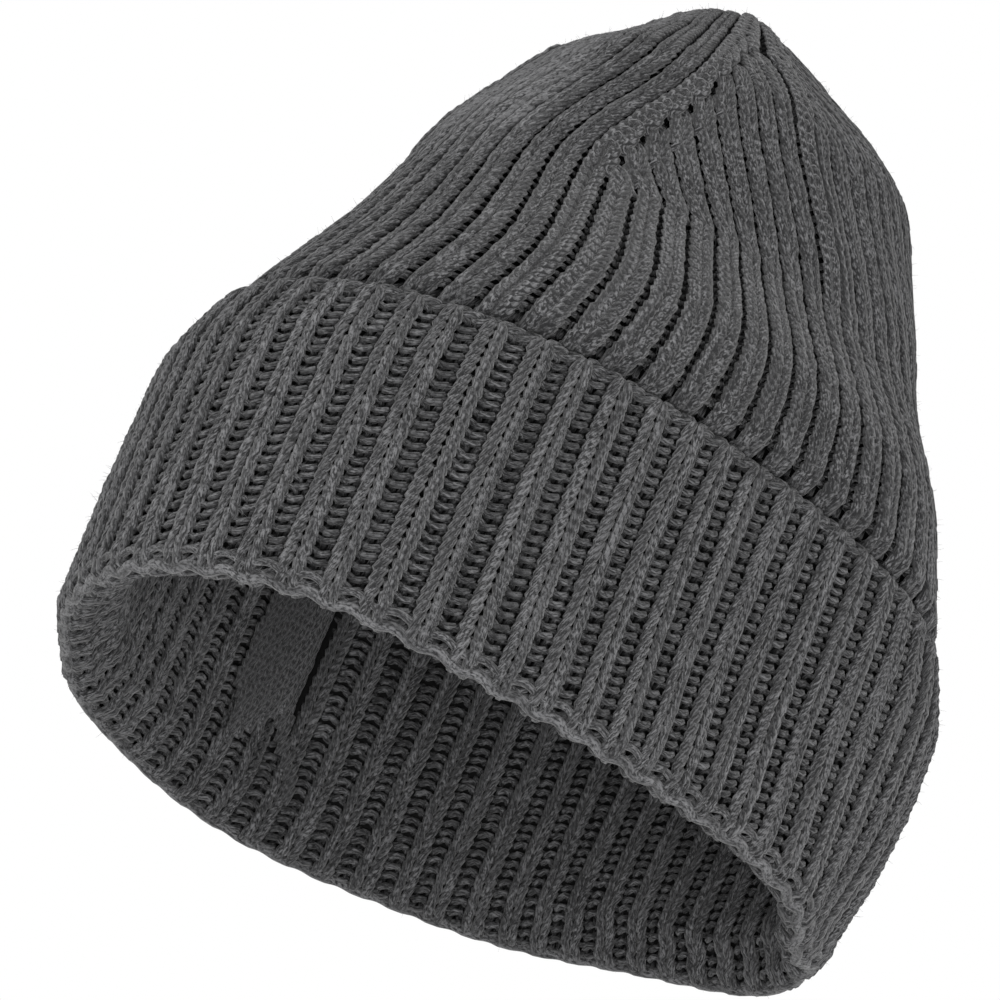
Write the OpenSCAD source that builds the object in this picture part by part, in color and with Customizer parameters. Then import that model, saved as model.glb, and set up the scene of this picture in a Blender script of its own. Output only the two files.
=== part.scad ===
// Ribbed knit hat with a deep turned-up cuff, as worn: millimetres, +Z up, front towards -Y.
// The origin is under the middle of the cuff, in the plane that the rim stands on.
// Left and right are the wearer's.

/* [Knitting] */
// Ribs (knit and purl column pairs) around the hat
rib_count = 60; // [48:6:72]
// Depth of the groove between two ribs
rib_depth = 2.0; // [1:0.1:2.6]
// Thickness of the knitted sheet itself, between its two ribbed faces
sheet_t = 2.4; // [1.6:0.1:3]
// Thickness of the knitting yarn
yarn_d = 2.2; // [1.4:0.1:2.6]

/* [Size] */
// Height of the hat as worn, from the rim to the crown
hat_h = 216; // [195:1:235]
// Width of the wall inside the cuff, over its ribs
wall_w = 191; // [182:1:200]
// Front-to-back depth of the wall inside the cuff, over its ribs
wall_d = 175; // [168:1:184]
// How much the front is flatter than the back, as a share of the half width
front_flat = 0.055; // [0:0.005:0.07]

/* [Cuff] */
// Height of the turned-up cuff
cuff_h = 80; // [64:1:92]
// How far the cuff stands off the wall just above the fold
fold_room = 5; // [3:0.1:6]
// How far the cuff stands off the wall at the hat's sides
side_room = 7; // [3:0.1:8]
// How far the cuff stands off the wall at the front and back
front_room = 1.4; // [0.8:0.1:3]
// How far the cast-on edge stands off the wall
edge_room = 0.8; // [0.5:0.1:2]
// Height of the rolled fold at the rim
fold_h = 13; // [10:0.5:16]
// Width of the flat that the fold stands on
fold_flat = 4; // [3:0.5:6]
// Thickness of the cast-on edge
edge_h = 5; // [3.5:0.5:7]

/* [Body and crown] */
// Height at which the first ribs are decreased
crown_z = 137; // [125:1:150]
// Half width of the body where it leaves the cuff
body_r = 95.5; // [90:0.5:99]
// How much of that half width is left at the first decreases
crown_share = 0.745; // [0.69:0.005:0.8]
// How much of it is left at the crown's shoulder
shoulder_share = 0.545; // [0.49:0.005:0.59]
// How far the crown leans to the wearer's right
lean_x = 5.5; // [0:0.5:8]
// How far the crown leans forwards
lean_y = 8; // [0:0.5:12]
// How far a decrease wale stands above the ribs beside it
wale_rise = 1; // [0.4:0.1:1.6]

/* [Seam and threads] */
// Depth of the two selvedges inside the back seam
selvedge_d = 6; // [4:0.5:8]
// Thickness of one selvedge
selvedge_t = 3.2; // [2.4:0.1:4]
// Radius of the ring in which the last stitches are gathered
gather_r = 5; // [4:0.25:7]

/* [Hidden] */

// Knitted layers and their running clearance
fabric_t = sheet_t + rib_depth;
clear = 0.3;
gores = 6;
gore_ribs = rib_count / gores;
rib_a = 360 / rib_count;

// Colours of the marl yarn in light and shade
marl = [0.36, 0.36, 0.37];
marl_light = [0.42, 0.42, 0.43];
marl_dark = [0.28, 0.28, 0.29];
thread_grey = [0.2, 0.2, 0.21];

// The body's profile above the cuff: height and half width over the ribs.
// The cuff holds the wall in, and the body swells out over its edge.
crown_r = crown_share * body_r;
shoulder_r = shoulder_share * body_r;
swell_z = cuff_h + 0.2 * fold_room;
bulge_z = cuff_h + 0.6 * fold_h;
shoulder_z = mix(crown_z, hat_h, 0.57);
body_stations = [
    [bulge_z, body_r],
    [mix(bulge_z, crown_z, 0.38), mix(body_r, crown_r, 0.43)],
    [mix(bulge_z, crown_z, 0.7), mix(body_r, crown_r, 0.74)],
    [crown_z, crown_r],
    [mix(crown_z, shoulder_z, 0.33), mix(crown_r, shoulder_r, 0.27)],
    [mix(crown_z, shoulder_z, 0.67), mix(crown_r, shoulder_r, 0.62)],
    [shoulder_z, shoulder_r],
    [mix(shoulder_z, hat_h, 0.25), 0.81 * shoulder_r],
    [mix(shoulder_z, hat_h, 0.5), 0.58 * shoulder_r],
    [mix(shoulder_z, hat_h, 0.77), 0.35 * shoulder_r],
    [mix(shoulder_z, hat_h, 0.95), 0.14 * shoulder_r],
    [hat_h, 0]
];
// Depth over width of the body: rounder over the cuff, longer in the neck of the crown
depth_stations = [
    [bulge_z, 0.975],
    [mix(bulge_z, crown_z, 0.42), 1.055],
    [mix(crown_z, hat_h, 0.1), 0.905],
    [hat_h, 0.95]
];

function mix(a, b, t) = a + (b - a) * t;
function ease(t) = t <= 0 ? 0 : t >= 1 ? 1 : t * t * (3 - 2 * t);
function place(table, i) = table[max(0, min(len(table) - 1, i))];
// The last station at or below z
function station(table, z, i = 0) =
    i >= len(table) - 2 || table[i + 1][0] > z ? i : station(table, z, i + 1);
// Slope of a smooth curve through the stations, flat where it turns
function station_slope(table, i) =
    let (a = place(table, i - 1), b = place(table, i), c = place(table, i + 1))
    i <= 0 ? (c[1] - b[1]) / (c[0] - b[0]) :
    i >= len(table) - 1 ? (b[1] - a[1]) / (b[0] - a[0]) :
    let (d = (b[1] - a[1]) / (b[0] - a[0]), e = (c[1] - b[1]) / (c[0] - b[0]))
    d * e <= 0 ? 0 : 2 * d * e / (d + e);
// Smooth curve through a table's stations
function curve(table, z) =
    let (
        i = station(table, z),
        a = table[i],
        b = table[i + 1],
        h = b[0] - a[0],
        t = max(0, min(1, (z - a[0]) / h))
    )
    a[1] * (1 + 2 * t) * pow(1 - t, 2) + b[1] * t * t * (3 - 2 * t)
    + h * (station_slope(table, i) * t * pow(1 - t, 2) - station_slope(table, i + 1) * t * t * (1 - t));

// Half width, depth ratio and middle of the body at height z
wall_r = wall_w / 2;
wall_ratio = wall_d / wall_w;
wall_y = -front_flat * wall_d / 2;
body_y = wall_y - 0.8;
function body_half(z) = curve(body_stations, z);
function swell(z) = ease((z - swell_z) / (bulge_z - swell_z));
function half_w(z) = mix(wall_r, body_half(max(z, bulge_z)), swell(z));
function ratio(z) = mix(wall_ratio, curve(depth_stations, max(z, bulge_z)), swell(z));
function rise(z) = max(0, (z - cuff_h) / (hat_h - cuff_h));
function mid_x(z) = -lean_x * pow(rise(z), 3);
function mid_y(z) = mix(wall_y, body_y, swell(z)) - lean_y * rise(z);
// A section's radius at an angle from the front, as a share of its half width
function lobe(a) = 1 - front_flat * cos(3 * a);
// Point of the outer face at angle a and height z, moved out level by off
function level_point(a, z, off) =
    let (r = half_w(z) * lobe(a))
    [mid_x(z) + (r + off) * sin(a), mid_y(z) - (r * ratio(z) + off) * cos(a), z];
// The same, moved out square to the slope of the body
function skin_point(a, z, off) =
    let (
        d = 0.5,
        lean = z < bulge_z ? 0 : atan2(half_w(z - d) - half_w(min(z + d, hat_h)), 2 * d),
        p = level_point(a, z, 0)
    )
    p + off * [sin(a) * cos(lean), -cos(a) * cos(lean), sin(lean)];

// The crown's rows are set out by length along its middle meridian
meridian_steps = 30;
function meridian_z(i) = mix(crown_z, hat_h, sin(90 * i / meridian_steps));
function step_length(i) = norm([
    half_w(meridian_z(i)) - half_w(meridian_z(i - 1)),
    meridian_z(i) - meridian_z(i - 1)
]);
function length_to(i) = i == 0 ? 0 : length_to(i - 1) + step_length(i);
meridian_len = length_to(meridian_steps);
meridian = [for (i = [0 : meridian_steps]) [length_to(i) / meridian_len, meridian_z(i)]];
// Height at the share v of the crown's length
function row_z(v) = lookup(v, meridian);
rows = [0, 0.07, 0.15, 0.24, 0.34, 0.44, 0.54, 0.64, 0.74, 0.83, 0.91, 0.97];

// Six decrease wales: the rib that each starts from, and how far it wanders on its way up.
// The front gore narrows early, as the hat is worn, and the others take up the room.
first_wale = -0.8 * gore_ribs;
wander = [0.22, -0.33, -0.22, -0.11, 0, 0.11];
function wale_at(k, v) =
    let (turn = k >= gores ? 1 : 0, i = k - turn * gores)
    first_wale + (k + wander[i] * ease(v / 0.5)) * gore_ribs;
// Ribs left between two wales at the share v of the crown's length
function front_left_over(v) = 1 - min(1, v / 0.72) * (1.15 - 0.15 * min(1, v / 0.72));
function later_left_over(v) =
    v < 0.4 ? 1 : v > 0.97 ? 0 : pow((0.97 - v) / 0.57, 0.63);
function ribs_left(k, v) =
    1 + (gore_ribs - 1) * max(0, min(1, k == 0 ? front_left_over(v) : later_left_over(v)));
// Ribs' pitch in a gore, in the ribs of the wall
function pitch(k, v) = (wale_at(k + 1, v) - wale_at(k, v)) / ribs_left(k, v);

// A row of a gore: half a rib a step from its right wale, ending at its left one
function gore_row(k, v) =
    let (
        p = pitch(k, v),
        low = wale_at(k, v) + p / 2,
        high = wale_at(k + 1, v) - p / 2,
        steps = ceil(2 * (ribs_left(k, v) - 1) - 0.02)
    )
    [for (h = [steps : -1 : 0])
        [max(low, high - h * p / 2), h == steps || h % 2 == 0 ? -rib_depth : 0]];
function wale_row(k, v) =
    let (
        before = pitch(k == 0 ? gores - 1 : k - 1, v),
        after = pitch(k, v),
        at = wale_at(k, v)
    )
    [[at - before / 2, -rib_depth], [at, wale_rise * ease(v / 0.07)], [at + after / 2, -rib_depth]];
function turn_of(u) = u * rib_a;
function row_points(row, z, off) = [for (p = row) skin_point(turn_of(p[0]), z, p[1] + off)];

// Faces of a slab between an outer and an inner list of rows. Rows are lined up at their
// last point, and a longer row's spare points run into the first point of the next.
function starts(rows, i = 0, sum = 0) =
    i == len(rows) ? [] : concat([sum], starts(rows, i + 1, sum + len(rows[i])));
function flip(tri) = [tri[2], tri[1], tri[0]];
function skin_faces(rows, first, base) = [
    for (j = [0 : len(rows) - 2])
    let (
        a = base + first[j],
        b = base + first[j + 1],
        spare = len(rows[j]) - len(rows[j + 1])
    )
    for (i = [0 : len(rows[j]) - 2])
    each i < spare
        ? [[a + i, a + i + 1, b]]
        : [[a + i, a + i + 1, b + i - spare + 1], [a + i, b + i - spare + 1, b + i - spare]]
];
function edge_faces(o, p, n) = [[o, o + n, p], [p, o + n, p + n]];
module slab(outer, inner) {
    first = starts(outer);
    total = first[len(first) - 1] + len(outer[len(outer) - 1]);
    last = len(outer) - 1;
    skin = skin_faces(outer, first, 0);
    back = [for (t = skin) [t[0] + total, t[2] + total, t[1] + total]];
    foot = [for (i = [0 : len(outer[0]) - 2])
        each [[i + 1, i, i + 1 + total], [i + 1 + total, i, i + total]]];
    head_row = first[last];
    head = [for (i = [0 : 1 : len(outer[last]) - 2])
        each [
            [head_row + i, head_row + i + 1, head_row + i + 1 + total],
            [head_row + i, head_row + i + 1 + total, head_row + i + total]
        ]];
    left = [for (j = [0 : last - 1])
        for (t = edge_faces(first[j], first[j + 1], total)) flip(t)];
    right = [for (j = [0 : last - 1])
        let (a = first[j] + len(outer[j]) - 1, b = first[j + 1] + len(outer[j + 1]) - 1)
        each edge_faces(a, b, total)];
    points = [for (row = outer) each row, for (row = inner) each row];
    polyhedron(points, [for (t = concat(skin, back, foot, head, left, right)) flip(t)]);
}
// A closed loop of sections swept around the hat: one list of points for each angle
module loop_of(sections) {
    n = len(sections);
    m = len(sections[0]);
    points = [for (s = sections) each s];
    faces = [for (i = [0 : n - 1]) for (j = [0 : m - 1])
        let (
            a = i * m + j,
            b = i * m + (j + 1) % m,
            c = ((i + 1) % n) * m + (j + 1) % m,
            d = ((i + 1) % n) * m + j
        )
        each [[a, b, c], [a, c, d]]];
    polyhedron(points, faces);
}
// An open run of sections, closed at both ends
module bar_of(sections) {
    n = len(sections);
    m = len(sections[0]);
    points = [for (s = sections) each s];
    sides = [for (i = [0 : n - 2]) for (j = [0 : m - 1])
        let (
            a = i * m + j,
            b = i * m + (j + 1) % m,
            c = (i + 1) * m + (j + 1) % m,
            d = (i + 1) * m + j
        )
        each [[a, b, c], [a, c, d]]];
    foot = [for (j = [1 : m - 2]) [0, j + 1, j]];
    head = [for (j = [1 : m - 2]) [(n - 1) * m, (n - 1) * m + j, (n - 1) * m + j + 1]];
    polyhedron(points, concat(sides, foot, head));
}

// Half ribs around the hat: ribs on the whole numbers and grooves between them
half_ribs = [0 : 2 * rib_count - 1];
function angle_of(h) = turn_of(h / 2);
function wall_rib(h) = h % 2 == 0 ? 0 : -rib_depth;
// The cuff is the same sheet turned back, so its ribs stand where the wall has grooves
function cuff_rib(h) = -rib_depth - wall_rib(h);

// The straight wall's rows: one long stretch inside the cuff, then up the body
wall_foot = fold_h + clear;
wall_rows = [
    wall_foot,
    swell_z,
    bulge_z,
    for (t = [0.2, 0.4, 0.6, 0.8, 1]) mix(bulge_z, crown_z, t)
];

// How far the cuff's outer face stands off the wall at an angle and a height
side_rooms = [[0, fold_room], [0.45 * cuff_h, side_room], [0.78 * cuff_h, side_room], [cuff_h, edge_room]];
front_rooms = [[0, fold_room], [0.45 * cuff_h, front_room], [cuff_h, edge_room]];
function cuff_off(a, z) =
    fabric_t + mix(curve(front_rooms, z), curve(side_rooms, z), pow(sin(a), 2));
edge_z = cuff_h - edge_h;
cuff_rows = [fold_h + clear, for (t = [0.22, 0.45, 0.78]) mix(fold_h, edge_z, t), edge_z];

// Ribbed tube from the fold to the first decreases
module side_wall() {
    color(marl)
    loop_of([for (h = half_ribs) concat(
        [for (z = wall_rows) skin_point(angle_of(h), z, wall_rib(h))],
        [for (i = [len(wall_rows) - 1 : -1 : 0])
            skin_point(angle_of(h), wall_rows[i], wall_rib(h) - sheet_t)]
    )]);
}
// One gore of the crown, whose ribs run out one after another into its right-hand wale
module gore(k) {
    whole = [for (v = rows) if (ribs_left(k, v) > 1.01) v];
    levels = concat(whole, [rows[len(whole)]]);
    slab(
        [for (v = levels) row_points(gore_row(k, v), row_z(v), 0)],
        [for (v = levels) row_points(gore_row(k, v), row_z(v), -sheet_t)]
    );
}
// One raised wale between two gores
module wale(k) {
    slab(
        [for (v = rows) row_points(wale_row(k, v), row_z(v), 0)],
        [for (v = rows) row_points(wale_row(k, v), row_z(v), -sheet_t)]
    );
}
// The rolled fold that the hat stands on: wall and cuff joined round an open channel
module rim_fold() {
    flat_in = -fold_flat / 2;
    channel_z = sheet_t + 0.2 * fold_h;
    color(marl_light)
    loop_of([for (h = half_ribs)
        let (
            a = angle_of(h),
            wall = wall_rib(h),
            cuff = cuff_off(a, fold_h) + cuff_rib(h),
            profile = [
                [flat_in, 0],
                [flat_in + fold_flat, 0],
                [cuff - 0.4 * fold_room, 0.22 * fold_h],
                [cuff, 0.6 * fold_h],
                [cuff, fold_h],
                [cuff - sheet_t, fold_h],
                [mix(wall, cuff - sheet_t, 0.5), channel_z],
                [wall, fold_h],
                [wall - sheet_t, fold_h],
                [wall - sheet_t, 0.35 * fold_h]
            ]
        )
        [for (p = profile) level_point(a, 0, p[0]) + [0, 0, p[1]]]]);
}
// The outer layer of the cuff
module cuff_band() {
    color(marl)
    loop_of([for (h = half_ribs)
        let (a = angle_of(h))
        concat(
            [for (z = cuff_rows) level_point(a, 0, cuff_off(a, z) + cuff_rib(h)) + [0, 0, z]],
            [for (i = [len(cuff_rows) - 1 : -1 : 0])
                let (z = cuff_rows[i])
                level_point(a, 0, cuff_off(a, z) + cuff_rib(h) - sheet_t) + [0, 0, z]]
        )]);
}
// The soft bead of cast-on stitches along the cuff's free edge
module cast_on_edge() {
    bead = 0.5;
    color(marl_light)
    loop_of([for (h = half_ribs)
        let (
            a = angle_of(h),
            out = cuff_off(a, edge_z) + cuff_rib(h),
            top = cuff_off(a, cuff_h) + cuff_rib(h),
            profile = [
                [out, edge_z],
                [mix(out, top, 0.5) + bead, mix(edge_z, cuff_h, 0.5)],
                [top - bead, cuff_h],
                [max(top, out) - sheet_t, mix(edge_z, cuff_h, 0.7)],
                [out - sheet_t, edge_z]
            ]
        )
        [for (p = profile) level_point(a, 0, p[0]) + [0, 0, p[1]]]]);
}

// The seam runs up the middle of the back, inside
seam_a = 180;
seam_in = -fabric_t - clear;
seam_rows = [
    wall_foot, swell_z, bulge_z,
    for (t = [0.33, 0.67, 1]) mix(bulge_z, crown_z, t),
    for (v = [0.07, 0.15, 0.24, 0.34, 0.44]) row_z(v)
];
// Point beside the seam line: across in millimetres, and out from the wall's inner face
function seam_point(z, across, depth) =
    let (turn = across / (half_w(z) * ratio(z)) * 180 / PI)
    skin_point(seam_a + turn, z, seam_in - depth);
// One selvedge of the panel, standing in from the wall
module selvedge(side) {
    near = side * (yarn_d / 2 + clear / 2);
    far = side * (yarn_d / 2 + clear / 2 + selvedge_t);
    bar_of([for (z = seam_rows)
        let (run = [[near, 0], [near, selvedge_d], [far, selvedge_d], [far, 0]])
        [for (i = [0 : 3]) let (p = run[side > 0 ? i : 3 - i]) seam_point(z, p[0], p[1])]]);
}
// The sewing yarn drawn up between the two selvedges
module seam_thread() {
    sides = 6;
    color(thread_grey)
    bar_of([for (z = seam_rows) [for (i = [0 : sides - 1])
        let (t = -360 * i / sides)
        seam_point(z, yarn_d / 2 * cos(t), yarn_d / 2 * (1 + sin(t)))]]);
}
// The drawn thread that gathers the last stitches under the crown's point
module gather_thread() {
    color(thread_grey)
    translate([mid_x(hat_h), mid_y(hat_h), hat_h - fabric_t - 1.5 * yarn_d])
    rotate_extrude($fn = 48)
    translate([gather_r, 0])
    circle(d = yarn_d, $fn = 24);
}

module gore_front() { color(marl) gore(0); }
module gore_front_left() { color(marl_dark) gore(1); }
module gore_back_left() { color(marl) gore(2); }
module gore_back() { color(marl_dark) gore(3); }
module gore_back_right() { color(marl) gore(4); }
module gore_front_right() { color(marl_dark) gore(5); }
module wale_front_right() { color(marl_light) wale(0); }
module wale_front_left() { color(marl_light) wale(1); }
module wale_left() { color(marl_light) wale(2); }
module wale_back_left() { color(marl_light) wale(3); }
module wale_back_right() { color(marl_light) wale(4); }
module wale_right() { color(marl_light) wale(5); }
module selvedge_left() { color(marl_dark) selvedge(-1); }
module selvedge_right() { color(marl_dark) selvedge(1); }

side_wall();
gore_front();
gore_front_left();
gore_back_left();
gore_back();
gore_back_right();
gore_front_right();
wale_front_right();
wale_front_left();
wale_left();
wale_back_left();
wale_back_right();
wale_right();
rim_fold();
cuff_band();
cast_on_edge();
selvedge_left();
selvedge_right();
seam_thread();
gather_thread();
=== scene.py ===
"""Looks of the ribbed knit hat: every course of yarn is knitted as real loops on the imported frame.

HatShape and Fabric give the surface, Knitting the strands that run over it, and tube() the yarn's mesh.
Trimmings adds the single strands. KnitHat cuts it all into pieces, dresses them and puts them on their
bodies. Lengths are millimetres up to the mesh, and metres from there on.
"""

import logging
import math
from dataclasses import astuple, dataclass, field, fields, replace
from enum import Enum

import bpy
import numpy as np
from mathutils import Matrix, Vector
from mathutils.bvhtree import BVHTree


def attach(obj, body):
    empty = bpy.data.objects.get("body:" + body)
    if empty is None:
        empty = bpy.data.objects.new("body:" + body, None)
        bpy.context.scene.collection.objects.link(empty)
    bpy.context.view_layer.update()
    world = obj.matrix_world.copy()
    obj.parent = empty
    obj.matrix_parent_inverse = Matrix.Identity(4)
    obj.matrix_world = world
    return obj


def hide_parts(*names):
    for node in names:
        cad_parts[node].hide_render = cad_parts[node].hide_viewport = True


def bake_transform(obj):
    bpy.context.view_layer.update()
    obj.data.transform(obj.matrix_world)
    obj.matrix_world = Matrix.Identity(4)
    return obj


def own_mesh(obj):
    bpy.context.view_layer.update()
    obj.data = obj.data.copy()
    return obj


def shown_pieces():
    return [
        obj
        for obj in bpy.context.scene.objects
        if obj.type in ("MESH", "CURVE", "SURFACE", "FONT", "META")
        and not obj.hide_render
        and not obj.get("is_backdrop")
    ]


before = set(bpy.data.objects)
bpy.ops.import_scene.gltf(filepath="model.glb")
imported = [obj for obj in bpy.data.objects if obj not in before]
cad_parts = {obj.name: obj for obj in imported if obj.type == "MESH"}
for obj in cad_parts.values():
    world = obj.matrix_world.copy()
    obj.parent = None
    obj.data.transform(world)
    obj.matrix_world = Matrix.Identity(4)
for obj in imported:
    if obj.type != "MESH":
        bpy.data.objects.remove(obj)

log = logging.getLogger("knit_hat")
MM = 0.001
TURN = 2 * math.pi
TINY = 1e-9
PHOTO_SIDE = 1000


# --------------------------------------------------------------------------- shape


def mix(a: np.ndarray, b: np.ndarray, t: np.ndarray) -> np.ndarray:
    """Blend from a to b by the share t."""
    return a + (b - a) * t


def ease(t: np.ndarray) -> np.ndarray:
    """Smooth step from 0 to 1."""
    t = np.clip(t, 0, 1)
    return t * t * (3 - 2 * t)


def unit(vectors: np.ndarray) -> np.ndarray:
    """Vectors scaled to a length of one."""
    return vectors / np.maximum(np.linalg.norm(vectors, axis=-1, keepdims=True), TINY)


def curve(stations: list[list[float]], at: np.ndarray) -> np.ndarray:
    """Smooth curve through stations, flat where it turns.

    Args:
        stations: Pairs of place and value, places rising.
        at: Places to read.

    Returns:
        The curve's values at those places.
    """
    x, y = np.array(stations, float).T
    rise = np.diff(y) / np.diff(x)
    slope = np.concatenate([rise[:1], np.zeros(len(x) - 2), rise[-1:]])
    before, after = rise[:-1], rise[1:]
    same = before * after > 0
    slope[1:-1][same] = 2 * before[same] * after[same] / (before[same] + after[same])
    i = np.clip(np.searchsorted(x, at, side="right") - 1, 0, len(x) - 2)
    h = x[i + 1] - x[i]
    t = np.clip((at - x[i]) / h, 0, 1)
    ends = y[i] * (1 + 2 * t) * (1 - t) ** 2 + y[i + 1] * t * t * (3 - 2 * t)
    return ends + h * (slope[i] * t * (1 - t) ** 2 - slope[i + 1] * t * t * (1 - t))


@dataclass(frozen=True)
class HatShape:
    """The hat's carrying surfaces from the same named sizes as the part's source, in millimetres.

    A profile is a list of stations: how far up a stretch each lies, and how far in or how wide it is.
    """

    rib_count: int = 60
    rib_depth: float = 2.0
    sheet_t: float = 2.4
    hat_h: float = 216
    wall_w: float = 191
    wall_d: float = 175
    front_flat: float = 0.055
    cuff_h: float = 80
    fold_room: float = 5
    side_room: float = 7
    front_room: float = 1.4
    edge_room: float = 0.8
    cuff_belly: float = 0.45
    cuff_brow: float = 0.78
    fold_h: float = 13
    swell_start: float = 0.2
    bulge_over: float = 0.6
    crown_z: float = 137
    body_r: float = 95.5
    crown_share: float = 0.745
    shoulder_up: float = 0.57
    shoulder_share: float = 0.545
    body_profile: tuple[tuple[float, float], ...] = ((0, 0), (0.38, 0.43), (0.7, 0.74))
    crown_profile: tuple[tuple[float, float], ...] = ((0, 0), (0.33, 0.27), (0.67, 0.62))
    point_profile: tuple[tuple[float, float], ...] = (
        (0, 1),
        (0.25, 0.81),
        (0.5, 0.58),
        (0.77, 0.35),
        (0.95, 0.14),
        (1, 0),
    )
    bulge_ratio: float = 0.975
    body_ratio: float = 1.055
    body_ratio_up: float = 0.42
    crown_ratio: float = 0.905
    crown_ratio_up: float = 0.1
    point_ratio: float = 0.95
    body_forward: float = 0.8
    lean_x: float = 5.5
    lean_y: float = 8
    gores: int = 6
    gore_ribs: int = 10
    first_wale: float = -0.8
    wander: tuple[float, ...] = (0.22, -0.33, -0.22, -0.11, 0, 0.11)
    wander_end: float = 0.5
    front_end: float = 0.72
    front_bend: float = 0.15
    narrow_start: float = 0.4
    narrow_end: float = 0.97
    narrow_power: float = 0.63
    meridian_steps: int = 30

    @property
    def fabric_t(self) -> float:
        """Thickness of the knitted fabric over its ribs."""
        return self.sheet_t + self.rib_depth

    @property
    def bulge_z(self) -> float:
        """Height at which the body has swollen out over the cuff."""
        return self.cuff_h + self.bulge_over * self.fold_h

    def angle(self, u: np.ndarray) -> np.ndarray:
        """Angle from the front, in radians, of a place counted in ribs."""
        return np.asarray(u) * TURN / self.rib_count

    def body_half(self, z: np.ndarray) -> np.ndarray:
        """Half width of the body over the cuff.

        Args:
            z: Heights.

        Returns:
            Half widths at those heights.
        """
        low, mid, top = self.bulge_z, self.crown_z, self.hat_h
        shoulder = mix(mid, top, self.shoulder_up)
        body_r, crown_r, shoulder_r = self.body_r * np.array([1, self.crown_share, self.shoulder_share])
        stations = [[mix(low, mid, up), mix(body_r, crown_r, t)] for up, t in self.body_profile]
        stations += [[mix(mid, shoulder, up), mix(crown_r, shoulder_r, t)] for up, t in self.crown_profile]
        stations += [[mix(shoulder, top, up), wide * shoulder_r] for up, wide in self.point_profile]
        return curve(stations, z)

    def swell(self, z: np.ndarray) -> np.ndarray:
        """Share of the way from the held-in wall to the free body."""
        swell_z = self.cuff_h + self.swell_start * self.fold_room
        return ease((z - swell_z) / (self.bulge_z - swell_z))

    def half_w(self, z: np.ndarray) -> np.ndarray:
        """Half width at a height."""
        return mix(self.wall_w / 2, self.body_half(np.maximum(z, self.bulge_z)), self.swell(z))

    def ratio(self, z: np.ndarray) -> np.ndarray:
        """Depth over width at a height.

        Args:
            z: Heights.

        Returns:
            The ratios at those heights.
        """
        stations = [
            [self.bulge_z, self.bulge_ratio],
            [mix(self.bulge_z, self.crown_z, self.body_ratio_up), self.body_ratio],
            [mix(self.crown_z, self.hat_h, self.crown_ratio_up), self.crown_ratio],
            [self.hat_h, self.point_ratio],
        ]
        over = curve(stations, np.maximum(z, self.bulge_z))
        return mix(self.wall_d / self.wall_w, over, self.swell(z))

    def middle(self, z: np.ndarray) -> tuple[np.ndarray, np.ndarray]:
        """Middle of the section at a height, as x and y.

        Args:
            z: Heights.

        Returns:
            The middles' x and their y.
        """
        rise = np.maximum(0, (z - self.cuff_h) / (self.hat_h - self.cuff_h))
        wall_y = -self.front_flat * self.wall_d / 2
        y = mix(wall_y, wall_y - self.body_forward, self.swell(z)) - self.lean_y * rise
        return -self.lean_x * rise**3, y

    def level_point(self, u: np.ndarray, z: np.ndarray, off: np.ndarray) -> np.ndarray:
        """Point of the outer face moved out level by off.

        Args:
            u: Ribs from the front.
            z: Heights.
            off: Millimetres out, level.

        Returns:
            Points in millimetres.
        """
        a = self.angle(u)
        x, y = self.middle(z)
        r = self.half_w(z) * (1 - self.front_flat * np.cos(3 * a))
        depth = r * self.ratio(z)
        return np.stack(
            [x + (r + off) * np.sin(a), y - (depth + off) * np.cos(a), z + 0 * a], axis=-1
        )

    def skin_point(self, u: np.ndarray, z: np.ndarray, off: np.ndarray) -> np.ndarray:
        """Point of the outer face moved out square to the body's slope by off.

        Args:
            u: Ribs from the front.
            z: Heights.
            off: Millimetres out, square to the slope.

        Returns:
            Points in millimetres.
        """
        reach = 0.5
        a = self.angle(u)
        fall = self.half_w(z - reach) - self.half_w(np.minimum(z + reach, self.hat_h))
        lean = np.where(z < self.bulge_z, 0, np.arctan2(fall, 2 * reach))
        out = np.stack(
            [np.sin(a) * np.cos(lean), -np.cos(a) * np.cos(lean), np.sin(lean) + 0 * a], axis=-1
        )
        return self.level_point(u, z, 0) + np.asarray(off)[..., None] * out

    def cuff_off(self, u: np.ndarray, z: np.ndarray) -> np.ndarray:
        """How far the cuff's outer face stands off the wall's plain section.

        Args:
            u: Ribs from the front.
            z: Heights.

        Returns:
            Millimetres out, level.
        """
        h = self.cuff_h
        foot, belly, edge = [0, self.fold_room], self.cuff_belly * h, [h, self.edge_room]
        side = [foot, [belly, self.side_room], [self.cuff_brow * h, self.side_room], edge]
        front = [foot, [belly, self.front_room], edge]
        share = np.sin(self.angle(u)) ** 2
        return self.fabric_t + mix(curve(front, z), curve(side, z), share)

    def crown_rows(self) -> tuple[np.ndarray, np.ndarray]:
        """Lengths along the crown's meridian from its foot, and the heights at which they end."""
        i = np.arange(self.meridian_steps + 1)
        z = mix(self.crown_z, self.hat_h, np.sin(TURN / 4 * i / self.meridian_steps))
        steps = np.hypot(np.diff(self.half_w(z)), np.diff(z))
        length = np.concatenate([[0], np.cumsum(steps)])
        return length, z

    def wale_at(self, k: int, v: float) -> float:
        """Place, in ribs from the front, of decrease wale k at the share v of the crown.

        Args:
            k: Number of the wale, counted on past the last.
            v: Share of the crown.

        Returns:
            Ribs from the front.
        """
        turn, i = divmod(k, self.gores)
        moved = self.wander[i] * float(ease(v / self.wander_end))
        return (self.first_wale + i + turn * self.gores + moved) * self.gore_ribs

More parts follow.
